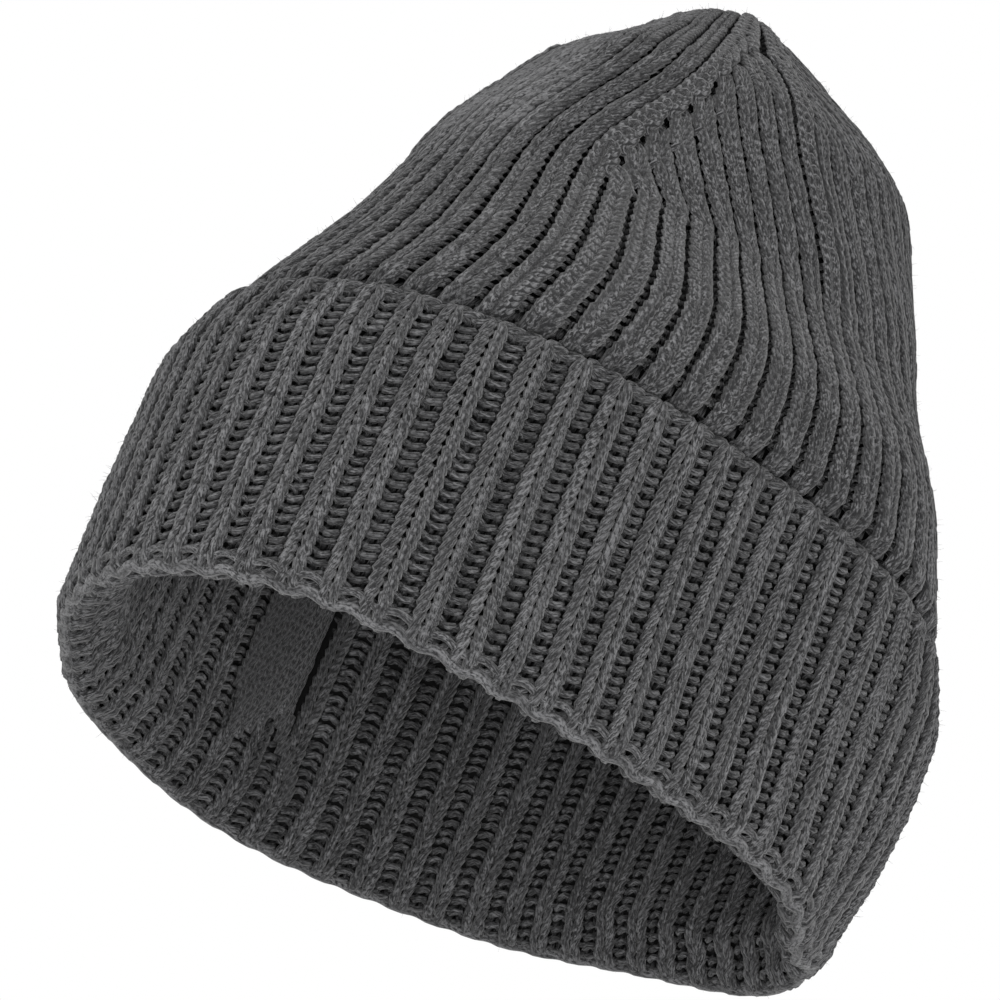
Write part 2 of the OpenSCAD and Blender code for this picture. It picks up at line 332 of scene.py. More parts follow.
    def ribs_left(self, k: int, v: float) -> float:
        """Ribs left between wales k and k + 1 at the share v of the crown.

        Args:
            k: Number of the first wale.
            v: Share of the crown.

        Returns:
            Ribs between the two wales, in fractions as they run out.
        """
        if k == 0:
            early = min(1, v / self.front_end)
            left = 1 - early * (1 + self.front_bend - self.front_bend * early)
        else:
            to_go = (self.narrow_end - v) / (self.narrow_end - self.narrow_start)
            left = min(1, max(0, to_go)) ** self.narrow_power
        return 1 + (self.gore_ribs - 1) * min(1, max(0, left))


class Zone(Enum):
    """The lengths of one fabric, in the order in which it was knitted from the cast-on edge."""

    CUFF = "cuff"
    FOLD = "fold"
    WALL = "wall"
    CROWN = "crown"


@dataclass(frozen=True)
class Push:
    """A soft push that sets part of the fabric as it lies in the photograph, in millimetres."""

    at: tuple[float, float, float]
    by: tuple[float, float, float]
    reach: float


@dataclass
class Fabric:
    """The fabric's middle surface, read by rib (u) and by course of knitting (row)."""

    shape: HatShape = field(default_factory=HatShape)
    course: float = 2.7
    fold_foot: float = 2.7
    fold_turn: float = 2.9
    fold_reach: float = 3.9
    cuff_out: float = 0.35
    wall_steps: int = 240
    rows_before: int = 2
    u_step: float = 0.125
    row_step: float = 0.5
    least_patch: float = 1e-6
    pushes: tuple[Push, ...] = (
        Push((-63, 1, 148), (-2.7, 1.1, 0.9), 28),
        Push((-84, 4, 99), (-1.5, 0.4, 1.1), 24),
        Push((-52, -12, 182), (1.9, -0.2, -2.0), 22),
        Push((-20, -17, 208), (-0.8, -0.1, 1.3), 16),
        Push((19, -43, 190), (1.1, -1.4, 1.6), 28),
        Push((56, -50, 138), (0.9, -0.7, 0.4), 26),
        Push((73, -66, 95), (-0.7, 0.6, -0.4), 20),
        Push((93, -56, 53), (1.2, -0.8, 0.3), 26),
        Push((98, -47, 5), (-2.1, 0.7, 2.4), 20),
        Push((94, 20, 3), (-1.5, -0.2, 2.6), 34),
        Push((51, 74, 3), (-0.6, -0.3, 1.4), 34),
        Push((-32, 85, 3), (0.3, -0.7, 1.0), 28),
        Push((-76, 53, 5), (0.7, -0.6, 0.4), 18),
        Push((-54, -84, 4), (0.7, 0.3, -1.6), 26),
        Push((-27, -90, 3), (0.9, 0.4, -1.9), 28),
        Push((11, -91, 3), (0.9, 0.4, -1.9), 26),
        Push((54, -81, 3), (0.5, 0.6, -1.7), 22),
        Push((80, -67, 4), (-3.0, 5.6, -5.0), 18),
    )

    def __post_init__(self) -> None:
        """Lay out the rows and fill the grids of places and normals."""
        s = self.shape
        straight = s.cuff_h - s.fold_h
        z = np.linspace(s.fold_h, s.crown_z, self.wall_steps)
        self.wall_z = z
        self.wall_len = np.concatenate([[0], np.cumsum(np.hypot(np.diff(s.half_w(z)), np.diff(z)))])
        self.crown_len, self.crown_heights = s.crown_rows()
        counts = {
            Zone.CUFF: straight / self.course,
            Zone.FOLD: self.fold_length / self.course,
            Zone.WALL: self.wall_len[-1] / self.course,
            Zone.CROWN: self.crown_len[-1] / self.course,
        }
        self.start: dict[Zone, int] = {}
        self.count: dict[Zone, int] = {}
        row = 0
        for zone, count in counts.items():
            self.start[zone], self.count[zone] = row, round(count)
            row += round(count)
        self.rows = row
        self.u_grid = np.arange(0, s.rib_count, self.u_step)
        self.row_grid = np.arange(-self.rows_before, self.rows + self.row_step / 2, self.row_step)
        self.places = self.settle(np.stack([self.section(r) for r in self.row_grid]))
        across = np.roll(self.places, -1, 1) - np.roll(self.places, 1, 1)
        along = np.gradient(self.places, axis=0)
        normal = np.cross(across, along)
        self.normals = unit(normal)
        open_rows = np.linalg.norm(normal, axis=-1).min(1) > self.least_patch
        self.normals[np.where(open_rows)[0][-1] + 1 :] = (0, 0, 1)

    @property
    def fold_length(self) -> float:
        """Length of fabric rolled into the rim, from the cuff's foot to the wall's."""
        rise = self.shape.fold_h - self.fold_foot - self.fold_turn
        return rise + math.pi * self.fold_turn + math.hypot(rise, self.fold_reach)

    def settle(self, places: np.ndarray) -> np.ndarray:
        """Set places as the photograph's hat lies, through the soft pushes.

        Args:
            places: Points in millimetres.

        Returns:
            The points as pushed.
        """
        moved = np.zeros_like(places)
        for push in self.pushes:
            away = np.linalg.norm(places - push.at, axis=-1, keepdims=True) / push.reach
            moved += np.exp(-away * away) * push.by
        return places + moved

    def share(self, row: float) -> tuple[Zone, float]:
        """The zone a row lies in, and how far along it the row is.

        Args:
            row: Courses from the cast-on edge.

        Returns:
            The zone, and the share of it that lies before the row.
        """
        zone = Zone.CUFF
        for candidate in Zone:
            if row >= self.start[candidate]:
                zone = candidate
        return zone, (row - self.start[zone]) / self.count[zone]

    def section(self, row: float) -> np.ndarray:
        """The fabric's middle line around the hat at one row.

        Args:
            row: Courses from the cast-on edge.

        Returns:
            One point in millimetres for each place of u_grid.
        """
        s, u = self.shape, self.u_grid
        zone, t = self.share(row)
        half = s.fabric_t / 2
        if zone is Zone.CUFF:
            z = s.cuff_h - (s.cuff_h - s.fold_h) * t + 0 * u
            off = s.cuff_off(u, np.minimum(z, s.cuff_h)) - half + self.cuff_out
            return self.stood_off(u, z, off)
        if zone is Zone.FOLD:
            outer = s.cuff_off(u, s.fold_h + 0 * u) - half + self.cuff_out
            knee = self.fold_foot + self.fold_turn
            down, bend = s.fold_h - knee, math.pi * self.fold_turn
            gone = t * self.fold_length
            if gone < down:
                return self.stood_off(u, s.fold_h - gone + 0 * u, outer)
            if gone < down + bend:
                turn = (gone - down) / self.fold_turn
                z = knee - self.fold_turn * math.sin(turn) + 0 * u
                return self.stood_off(u, z, outer - self.fold_turn * (1 - math.cos(turn)))
            left = (gone - down - bend) / (self.fold_length - down - bend)
            inner = outer - 2 * self.fold_turn
            return self.stood_off(u, mix(knee, s.fold_h, left) + 0 * u, mix(inner, -half, ease(left)))
        if zone is Zone.WALL:
            z = np.interp(t * self.wall_len[-1], self.wall_len, self.wall_z) + 0 * u
            return s.skin_point(u, z, -half + 0 * u)
        z = np.interp(t * self.crown_len[-1], self.crown_len, self.crown_heights) + 0 * u
        return s.skin_point(u, z, -half + 0 * u)

    def stood_off(self, u: np.ndarray, z: np.ndarray, off: np.ndarray) -> np.ndarray:
        """Points that stand off the wall's plain section, as the cuff's do.

        Args:
            u: Ribs from the front.
            z: Heights.
            off: Millimetres out, level.

        Returns:
            Points in millimetres.
        """
        points = self.shape.level_point(u, 0 * z, off)
        points[..., 2] = z
        return points

    def rib_phase(self, place: np.ndarray) -> float:
        """How far a place on the cuff lies past the middle of a rib, in ribs.

        Args:
            place: A point in millimetres.

        Returns:
            Ribs, from -0.5 to 0.5.
        """
        rows = self.places[(self.row_grid >= 0) & (self.row_grid <= self.start[Zone.FOLD])]
        away = np.linalg.norm(rows - place, axis=-1).min(0)
        return float(self.u_grid[int(np.argmin(away))] % 1 - 0.5)

    def read(self, grid: np.ndarray, u: np.ndarray, row: np.ndarray) -> np.ndarray:
        """Read a grid between its points, up to just inside its last row.

        Args:
            grid: Values by row and place around.
            u: Ribs from the front.
            row: Courses from the cast-on edge.

        Returns:
            The grid's values there.
        """
        n, last = len(self.u_grid), len(self.row_grid) - 1.001
        x = (u / self.u_step) % n
        y = np.clip((row - self.row_grid[0]) / self.row_step, 0, last)
        i, j = np.floor(x).astype(int), np.floor(y).astype(int)
        fx, fy = (x - i)[..., None], (y - j)[..., None]
        i, k = i % n, (i + 1) % n
        low = mix(grid[j, i], grid[j, k], fx)
        high = mix(grid[j + 1, i], grid[j + 1, k], fx)
        return mix(low, high, fy)

    def lay(self, u: np.ndarray, row: np.ndarray, off: np.ndarray) -> tuple[np.ndarray, np.ndarray]:
        """Place points on the fabric.

        Args:
            u: Ribs from the front.
            row: Courses from the cast-on edge.
            off: Millimetres off the middle surface, towards the face that is outside on the body.

        Returns:
            Points in millimetres and the surface's normals there.
        """
        normal = unit(self.read(self.normals, u, row))
        return self.read(self.places, u, row) + off[..., None] * normal, normal


# --------------------------------------------------------------------------- knitting


@dataclass
class Column:
    """One column of loops at one course: where it lies, which face its legs show on, and its wale."""

    left: float
    right: float
    side: int
    wale: int = -1
    gore: int = -1
    left_drift: float = 0.0
    right_drift: float = 0.0


# Lifts at which the painted shade in the yarn's colour is darkest, low between the ribs, and gone.
FULL_SHADE_LIFT, NO_SHADE_LIFT = -0.55, 1.2


@dataclass
class Strand:
    """A run of yarn: its points, the fabric's normal there, and its half width and half thickness.

    Lift is how far it stands out to the face that shows, and back, if given, to the other face. The two set
    a painted shade in the yarn's colour: from the fully shaded lift to the unshaded lift, set above the
    class, the yarn goes from darkened, as the dark between the ribs, to not darkened, as in the open air.
    """

    points: np.ndarray
    normals: np.ndarray
    wide: np.ndarray
    thick: np.ndarray
    tone: np.ndarray
    lift: np.ndarray
    face: float = 1.0
    closed: bool = False
    back: np.ndarray | None = None

    @classmethod
    def plain(
        cls,
        points: np.ndarray,
        normals: np.ndarray,
        half: float | np.ndarray,
        tone: float,
        closed: bool = False,
    ) -> "Strand":
        """A round strand of one tone that lies in the open, with no painted shade."""
        n = len(points)
        same = np.full(n, half)
        return cls(points, normals, same, same, np.full(n, tone), np.full(n, NO_SHADE_LIFT), 0.0, closed)

    def cut(self, start: int, end: int) -> "Strand":
        """The run from one point of a closed strand to another, both with it."""
        take = np.arange(start, end + 1) % len(self.points)
        parts = (self.points, self.normals, self.wide, self.thick, self.tone, self.lift)
        back = None if self.back is None else self.back[take]
        return Strand(*(part[take] for part in parts), self.face, back=back)

    def skin(self, ring: np.ndarray) -> np.ndarray:
        """The yarn's skin.

        Args:
            ring: Angles of the corners of the yarn's cross-section.

        Returns:
            Points in millimetres, one ring after the other.
        """
        p = self.points
        if self.closed:
            ahead, behind = np.roll(p, -1, 0), np.roll(p, 1, 0)
        else:
            ahead, behind = np.concatenate([p[1:], p[-1:]]), np.concatenate([p[:1], p[:-1]])
        tangent = unit(ahead - behind)
        side = unit(np.cross(tangent, self.normals))
        up = np.cross(side, tangent)
        across = side[:, None] * (self.wide[:, None] * np.cos(ring))[..., None]
        over = up[:, None] * (self.thick[:, None] * np.sin(ring))[..., None]
        return (p[:, None] + across + over).reshape(-1, 3)

    def plies(self, ring: np.ndarray) -> np.ndarray:
        """Where the skin's points lie on the yarn: around it, as cosine and sine, and along it."""
        steps = np.linalg.norm(np.diff(self.points, axis=0), axis=1)
        along = np.concatenate([[0], np.cumsum(steps)])
        around = np.broadcast_to(ring, (len(along), len(ring)))
        parts = [np.cos(around), np.sin(around), np.repeat(along[:, None], len(ring), 1)]
        return np.stack(parts, -1).reshape(-1, 3)

    def air(self, ring: np.ndarray) -> np.ndarray:
        """How far the skin's points are spared the painted shade, from 0 to 1: how open they lie.

        Args:
            ring: Angles of the corners of the yarn's cross-section.

        Returns:
            One value for each point; the yarn's sides, edge on, take the more open, less shaded, of the two
            faces.
        """
        up, edge_on = np.sin(ring), 0.1
        bulge = self.face * self.thick[:, None] * up
        height = self.lift[:, None] + bulge
        if self.back is not None:
            lower = np.where(up < edge_on, self.back[:, None] - bulge, -np.inf)
            height = np.maximum(np.where(up > -edge_on, height, -np.inf), lower)
        return ease((height.ravel() - FULL_SHADE_LIFT) / (NO_SHADE_LIFT - FULL_SHADE_LIFT))


@dataclass(frozen=True)
class Stitch:
    """The form of one kind of loop, in courses, shares of the column's width, or millimetres."""

    foot: float = 1.1
    head: float = 1.15
    lean: float = 0.2
    spread: float = 0.06
    depth: float = 0.65
    sink: float = 0.45
    tilt: float = 0.0
    arch: float = 0.5
    deep: float = 0.0
    leg_share: float = 0.215
    leg_most: float = 1.3
    leg_thick: float = 0.95
    head_wide: float = 0.78
    head_thick: float = 0.75


LEGS = Stitch(lean=0.215, spread=0.012, depth=0.72)
BARS = Stitch(head=1.0, spread=0.02, sink=0.5, arch=0.0, leg_share=0.2, head_wide=0.88, head_thick=0.8)
CUFF_BARS = replace(BARS, tilt=1.1)
CORD_LEGS = Stitch(
    foot=1.3, head=1.3, lean=0.2, spread=0.0, depth=0.3, sink=0.2, arch=2.5, leg_share=0.27, leg_most=2.1
)
CORD_GROOVE = replace(BARS, deep=3.4, arch=0.0)


@dataclass
class Knitting:
    """Rib stitches: how one course of loops runs over its knit and purl columns.

    Share_rows, turned_rows and crease_rows are courses past the wall's start. The felt fields place and
    shape the crown's smooth side: before and over are in courses, from, to and fades in ribs from the front.
    That side also gets painted light: its tone is lightened, and its lift spares it the painted shade.
    """

    fabric: Fabric
    samples: int = 12
    phase: float = 0.0
    phase_fade: float = 20
    wale_rise: float = 1.5
    wale_grown: float = 0.07
    uneven: float = 0.085
    loop_wobble: tuple[float, ...] = (0.35, 1.0, 1.6)
    foot_wobble: tuple[float, ...] = (0.6, 1.0)
    swing_power: float = 0.8
    dome_level: float = 0.7
    seed: int = 7
    shares: tuple[float, ...] = (0.45, 0.45, 0.47, 0.53, 0.68, 0.75, 0.79)
    share_rows: tuple[int, ...] = (18, 25, 30)
    loose_share: float = 0.53
    closing_share: float = 0.2
    # spares the closed cords some of the painted shade
    closing_lift: float = 0.5
    turned_rows: tuple[int, int] = (21, 24)
    crease_rows: tuple[int, ...] = (5, 9, 17, 21)
    crease_at: float = -0.62
    crease_half: float = 0.42
    crease_depth: float = 3.0
    felt_before: float = 4
    felt_over: float = 12
    felt_from: float = -23
    felt_to: float = -10
    felt_fades: tuple[float, float] = (6, 2)
    felt_share: float = 0.97
    # lifts the felted side out of the painted shade: painted light
    felt_lift: float = 2.2
    felt_form: tuple[tuple[str, float], ...] = (
        ("arch", 0.1),
        ("deep", 0.0),
        ("leg_share", 1.35),
        ("leg_most", 1.6),
    )
    # painted light: lightens the yarn's colour on the felted side of the crown
    felt_tone: float = 5.0
    cord_tone: float = -2.2
    stray: float = 0.035
    stray_waves: tuple[tuple[float, ...], ...] = ((17, 0.16, 0.0), (29, -0.11, 1.3))
    least_rib: float = 0.55
    full_width: float = 3.2
    slimmest: float = 0.45

    def __post_init__(self) -> None:
        """Seed the small unevenness of hand and machine."""
        self.rng = np.random.default_rng(self.seed)

    def outer_share(self, row: float) -> float:
        """Share of a rib's pitch that its column on the body's outer face takes.

        Args:
            row: Courses from the cast-on edge.

        Returns:
            The share, from 0 to 1.
        """
        f = self.fabric
        wall = f.start[Zone.WALL]
        rows = [0, f.start[Zone.FOLD], wall, *(wall + i for i in self.share_rows), f.start[Zone.CROWN]]
        return float(np.interp(row, rows, self.shares))

    def closing(self, row: float) -> float:
        """How far the ribs have drawn together into cords, from 0 to 1."""
        return float(np.clip((self.outer_share(row) - self.loose_share) / self.closing_share, 0, 1))

    def face(self, row: float) -> float:
        """Which face of the fabric shows at a row: -1 for the body's inner one, 1 for its outer one."""
        return float(np.interp(row - self.fabric.start[Zone.WALL], self.turned_rows, [-1, 1]))

    def crease(self, u: np.ndarray, row: float) -> np.ndarray:
        """How deep the wall is drawn in beside the back seam's flap, from 0 to 1.

        Args:
            u: Ribs from the front.
            row: Courses from the cast-on edge.

        Returns:
            The depth, one value for each place.
        """
        f = self.fabric
        along = np.interp(row - f.start[Zone.WALL], self.crease_rows, [0, 1, 1, 0])
        aside = u - f.shape.rib_count / 2 - self.crease_at
        return along * np.exp(-((aside / self.crease_half) ** 2))

    def smooth(self, u: np.ndarray, row: float) -> np.ndarray:
        """How far the crown, on the wearer's right, is felted smooth, from 0 to 1.

        Args:
            u: Ribs from the front.
            row: Courses from the cast-on edge.

        Returns:
            The smoothness, one value for each place.
        """
        f = self.fabric
        half = f.shape.rib_count / 2
        along = ease(np.array((row - f.start[Zone.CROWN] + self.felt_before) / self.felt_over))
        around = (np.asarray(u) + half) % (2 * half) - half
        first, last = self.felt_fades
        return along * ease((around - self.felt_from) / first) * ease((self.felt_to - around) / last)

    def columns(self, row: float) -> list[Column]:
        """The columns of a course in order around the hat, each with its drift from course to course.

        Args:
            row: The course's middle, in courses from the cast-on edge.

        Returns:
            The columns.
        """
        low, here, high = (self.edges(row, at) for at in (row - 0.5, row, row + 0.5))
        out = []
        for before, now, after in zip(low, here, high):
            left, right = after.left - before.left, after.right - before.right
            out.append(replace(now, left_drift=left, right_drift=right))
        return out

    def edges(self, row: float, at: float) -> list[Column]:
        """Where the columns of one course lie at another course beside it.

        Args:
            row: The course whose columns are meant.
            at: The course at which they are measured.

        Returns:
            The columns in order around the hat.
        """
        s, f = self.fabric.shape, self.fabric
        first, count = f.start[Zone.CROWN], f.count[Zone.CROWN]
        v, v_at = max(0, (row - first) / count), max(0, (at - first) / count)
        share = self.outer_share(at)
        centres: list[tuple[float, int, int]] = []
        for k in range(s.gores):
            low, high = s.wale_at(k, v_at), s.wale_at(k + 1, v_at)
            pitch = (high - low) / s.ribs_left(k, v_at)
            centres.append((low, k, k))
            for i in range(int(math.floor(s.ribs_left(k, v) - self.least_rib)), 0, -1):
                u = high - i * pitch
                moved = self.phase * float(ease(np.array((first - at) / self.phase_fade)))
                centres.append((u + pitch * self.strayed(u, at) + moved, -1, k))
        out: list[Column] = []
        n = len(centres)
        for i, (u, wale, gore) in enumerate(centres):
            before = u - (centres[i - 1][0] - (s.rib_count if i == 0 else 0))
            after = centres[(i + 1) % n][0] + (s.rib_count if i == n - 1 else 0) - u
            part = mix(share, self.felt_share, float(self.smooth(u, at))) / 2
            out.append(Column(u - before * part, u + after * part, 1, wale, gore))
            out.append(Column(u + after * part, u + after / 2, -1, -1, gore))
        for here, there in zip(out[1::2], out[2::2] + out[:1]):
            here.right = there.left + (s.rib_count if there is out[0] else 0)
        return out

    def strayed(self, u: float, row: float) -> float:
        """How far a rib strays from its even place, in ribs, by waves that turn from course to course.

        Args:
            u: Ribs from the front.
            row: Courses from the cast-on edge.

        Returns:
            Ribs aside.
        """
        a = self.fabric.shape.angle(u)
        return self.stray * sum(math.sin(n * a + turn * row + start) for n, turn, start in self.stray_waves)

    def forms(self, cols: list[Column], row: float) -> list[np.ndarray]:
        """The loop form of each column, one array for each value of Stitch.

        Args:
            cols: The columns of a course.
            row: Courses from the cast-on edge.

        Returns:
            The values, each with one row for a column.
        """
        side = np.array([c.side for c in cols])
        turned = np.array([astuple(LEGS if s < 0 else CUFF_BARS) for s in side])
        loose = np.array([astuple(LEGS if s > 0 else BARS) for s in side])
        tight = np.array([astuple(CORD_LEGS if s > 0 else CORD_GROOVE) for s in side])
        table = mix(turned, mix(loose, tight, self.closing(row)), (self.face(row) + 1) / 2)
        smooth = self.smooth(np.array([(c.left + c.right) / 2 for c in cols]), row)
        names = [item.name for item in fields(Stitch)]
        for name, left in self.felt_form:
            table[:, names.index(name)] *= mix(1, left, smooth)
        return [column[:, None] for column in table.T]

    def course(self, row: float) -> tuple[Strand, list[Column]]:
        """Knit one whole course.

        Args:
            row: The course's middle, in courses from the cast-on edge.

        Returns:
            The closed strand, with `samples` points for each column, and the columns.
        """
        f, cols = self.fabric, self.columns(row)
        left, right, side, wale = np.array([(c.left, c.right, c.side, c.wale) for c in cols]).T[..., None]
        width, middle, knots = right - left, left + (right - left) / 2, len(cols)
        foot, head, lean, spread, depth, sink, tilt, arch, deep, *yarn = self.forms(cols, row)
        t = TURN * (np.arange(self.samples)[None, :] / self.samples)
        leg, heads = np.sin(t / 2) ** 2, np.clip(-np.cos(t), 0, 1) ** 3
        wobble = self.rng.normal(0, self.uneven, (3, knots, 1))
        edge = self.rng.normal(0, self.uneven, (2, knots, 1))
        drift = mix(edge, np.roll(edge, -1, axis=1), ease(t / TURN))
        aside, on, out = (share * part * leg for share, part in zip(self.loop_wobble, wobble))
        slip, rise = (share * part for share, part in zip(self.foot_wobble, drift))
        across = t / TURN + lean * np.sin(2 * t) - spread * np.sin(t)
        along = np.array([(c.left_drift, c.right_drift) for c in cols])
        swing = -np.sign(np.cos(t)) * np.abs(np.cos(t)) ** self.swing_power
        y = row + swing * np.where(swing > 0, head, foot) - tilt * (across - 0.5) * heads
        y = y + on + slip
        u = left + width * (across + aside)
        u = u + (y - row) * mix(along[:, :1], along[:, 1:], across)
        dome = np.sqrt(np.clip(1 - (2 * across - 1) ** 2, 0, 1))
        off = side * (depth * (1 - np.cos(2 * t)) - sink * heads + arch * (dome - self.dome_level))
        off = off - deep * leg + out + rise
        grown = ease(max(0.0, row - f.start[Zone.CROWN]) / f.count[Zone.CROWN] / self.wale_grown)
        off = off + (wale >= 0) * self.wale_rise * float(grown) * leg
        off = off + self.crease_depth * self.crease(u, row)
        points, normals = f.lay(u.ravel(), y.ravel(), off.ravel())
        both = row > f.start[Zone.WALL]
        face, felt, closing = 1.0 if both else -1.0, self.smooth(middle, row), self.closing(row)
        # Lift sets the painted shade; closing and felt lift some of it, and the felted side gets painted
        # light.
        lift = face * off + self.closing_lift * closing + self.felt_lift * felt
        shade = self.felt_tone * felt[:, 0] + self.cord_tone * closing
        strand = Strand(
            points,
            normals,
            *self.girth(width * self.per_rib(row, middle), np.sin(t) ** 2, yarn),
            np.repeat(self.rng.normal(0, 1, knots) + shade, self.samples),
            lift.ravel(),
            face,
            closed=True,
            back=-off.ravel() if both else None,
        )
        return strand, cols

    def girth(self, wide: np.ndarray, plump: np.ndarray, yarn: list[np.ndarray]) -> list[np.ndarray]:
        """How thick the yarn is along the loops.

        Args:
            wide: Width of each column in millimetres.
            plump: Share of a leg, against a head or foot, at each sample of a loop.
            yarn: The last five values of Stitch for each column.

        Returns:
            Half widths and half thicknesses, one for each point of the course.
        """
        leg_share, leg_most, leg_thick, head_wide, head_thick = yarn
        legs_wide = np.minimum(leg_share * wide, leg_most)
        slim = np.clip(wide / self.full_width, self.slimmest, 1)
        across = mix(head_wide * slim, legs_wide, plump)
        through = mix(head_thick * slim, leg_thick * slim**0.5, plump)
        return [across.ravel(), through.ravel()]

    def per_rib(self, row: float, at: np.ndarray) -> np.ndarray:
        """Millimetres for each rib of width, at places along a course.

        Args:
            row: Courses from the cast-on edge.
            at: Places, in ribs from the front.

        Returns:
            Millimetres for each place.
        """
        reach = 0.25
        rows = np.full(at.shape, row)
        a, _ = self.fabric.lay(at - reach, rows, 0 * at)
        b, _ = self.fabric.lay(at + reach, rows, 0 * at)
        return np.linalg.norm(b - a, axis=-1) / (2 * reach)


def tube(strands: list[Strand], sides: int, name: str) -> bpy.types.Object:
    """Sweep strands into one mesh of yarn.

    Args:
        strands: Runs of yarn, in millimetres.
        sides: Corners of the yarn's cross-section.
        name: The new object's name.

    Returns:
        The object, with its bake map and the attributes `yarn` (around and along), `tone` (random stitch
        tone, with some painted light), and the share of each point spared the painted shade.
    """
    ring, margin = TURN * np.arange(sides) / sides, 0.04
    faces, maps, caps = [], [], []
    base = 0
    for index, strand in enumerate(strands):
        n = len(strand.points)
        spans = n if strand.closed else n - 1
        i = np.arange(spans)[:, None]
        j = np.arange(sides)[None, :]
        here, there = base + i * sides, base + ((i + 1) % n) * sides
        k = (j + 1) % sides
        faces.append(np.stack([here + j, here + k, there + k, there + j], -1).reshape(-1, 4))
        u0, u1 = i / spans + 0 * j, (i + 1) / spans + 0 * j
        low, high = (margin + (1 - 2 * margin) * edge / sides for edge in (j, j + 1))
        v0, v1 = (index + low) / len(strands) + 0 * i, (index + high) / len(strands) + 0 * i
        corners = [np.stack(c, -1) for c in ((u0, v0), (u0, v1), (u1, v1), (u1, v0))]
        maps.append(np.stack(corners, 2).reshape(-1, 2))
        if not strand.closed:
            caps += [base + np.arange(sides)[::-1], base + (n - 1) * sides + np.arange(sides)]
        base += n * sides
    values = {
        "yarn": np.concatenate([strand.plies(ring) for strand in strands]),
        "tone": np.concatenate([np.repeat(strand.tone, sides) for strand in strands]),
        # painted shade: the share of each point's colour left undarkened
        "air": np.concatenate([strand.air(ring) for strand in strands]),
    }
    skin = np.concatenate([strand.skin(ring) for strand in strands])
    return mesh_object(name, skin, np.concatenate(faces), caps, np.concatenate(maps), values)


@dataclass(frozen=True)
class LooseFibres:
    """Short, thin, bent hairs that stand off the yarn, in millimetres."""

    shortest: float = 0.6
    longest: float = 1.6
    half: float = 0.05
    taper: float = 0.75
    root: float = 0.7
    aside: float = 0.75
    out: float = 0.65
    bend: float = 0.35
    tone: float = 2.0
    least_lift: float = 0.1
    knots: tuple[float, ...] = (0, 0.35, 0.7, 1.0)

    def grow(self, strands: list[Strand], count: int, rng: np.random.Generator) -> list[Strand]:
        """Grow hairs where the yarn lies in the open.

        Args:
            strands: The yarn from which they come.
            count: How many.
            rng: Where the chance comes from.

        Returns:
            One strand for each hair.
        """
        roots = np.concatenate([s.points for s in strands])
        outs = np.concatenate([s.normals * s.face for s in strands])
        thick = np.concatenate([s.thick for s in strands])
        lift = np.concatenate([s.lift for s in strands])
        pick = rng.choice(np.where(lift > self.least_lift)[0], count)
        aside = unit(rng.normal(0, 1, (count, 3)))
        bend = rng.normal(0, 1, (count, 3))
        long = rng.uniform(self.shortest, self.longest, (count, 1))
        t = np.array(self.knots)[:, None]
        fine = self.half * (1 - self.taper * t[:, 0])
        out = []
        for i, at in enumerate(pick):
            first = roots[at] + outs[at] * thick[at] * self.root
            lean = self.aside * aside[i] + self.out * outs[at]
            points = first + long[i] * (t * lean + self.bend * t * t * bend[i])
            normals = unit(np.repeat(np.cross(lean, bend[i])[None], len(t), 0))
            out.append(Strand.plain(points, normals, fine, self.tone))
        return out


def mesh_object(
    name: str,
    verts: np.ndarray,
    quads: np.ndarray,
    caps: list[np.ndarray],
    uvs: np.ndarray,
    attributes: dict[str, np.ndarray],
) -> bpy.types.Object:
    """Make an object from arrays.

    Args:
        name: The object's name.
        verts: Points in millimetres.
        quads: Four corners a face.
        caps: Faces with other numbers of corners.
        uvs: One place of the bake map for each corner of the quads.
        attributes: Values for each point, one or three wide.

    Returns:
        The linked, smooth-shaded object.
    """
    mesh = bpy.data.meshes.new(name)
    corners = np.concatenate([quads.ravel(), *caps]).astype(np.int32)
    totals = np.concatenate([np.full(len(quads), 4), [len(c) for c in caps]]).astype(np.int32)
    starts = np.concatenate([[0], np.cumsum(totals)[:-1]]).astype(np.int32)
    mesh.vertices.add(len(verts))
    mesh.vertices.foreach_set("co", (verts * MM).astype(np.float32).ravel())
    mesh.loops.add(len(corners))
    mesh.loops.foreach_set("vertex_index", corners)
    mesh.polygons.add(len(totals))
    mesh.polygons.foreach_set("loop_start", starts)
    mesh.polygons.foreach_set("loop_total", totals)
    mesh.update(calc_edges=True)
    mesh.polygons.foreach_set("use_smooth", np.ones(len(totals), bool))
    layer = mesh.uv_layers.new(name="OFBake")
    flat = np.zeros((len(corners), 2), np.float32)
    flat[: len(uvs)] = uvs
    layer.uv.foreach_set("vector", flat.ravel())
    for key, values in attributes.items():
        kind = "FLOAT" if values.ndim == 1 else "FLOAT_VECTOR"
        made = mesh.attributes.new(key, kind, "POINT")
        made.data.foreach_set("value" if kind == "FLOAT" else "vector", values.astype(np.float32).ravel())
    mesh.validate()
    obj = bpy.data.objects.new(name, mesh)
    bpy.context.scene.collection.objects.link(obj)
    return obj


# --------------------------------------------------------------------------- finishes


def socket(tree: bpy.types.NodeTree, name: str, way: str, kind: str, value: object = None) -> None:
    """Give a node group a named input or output, with a starting value.

    Args:
        tree: The group.
        name: The socket's name.
        way: INPUT or OUTPUT.
        kind: The end of Blender's name for its type.
        value: Its starting value, if any.
    """
    made = tree.interface.new_socket(name=name, in_out=way, socket_type=f"NodeSocket{kind}")
    if value is not None:
        made.default_value = value


def feed(tree: bpy.types.NodeTree, slot: bpy.types.NodeSocket, value: object) -> None:
    """Link a socket to an input, or set the input to a plain value.

    Args:
        tree: The node tree.
        slot: The input.
        value: A socket or a plain value.
    """
    if isinstance(value, bpy.types.NodeSocket):
        tree.links.new(value, slot)
    else:
        slot.default_value = value


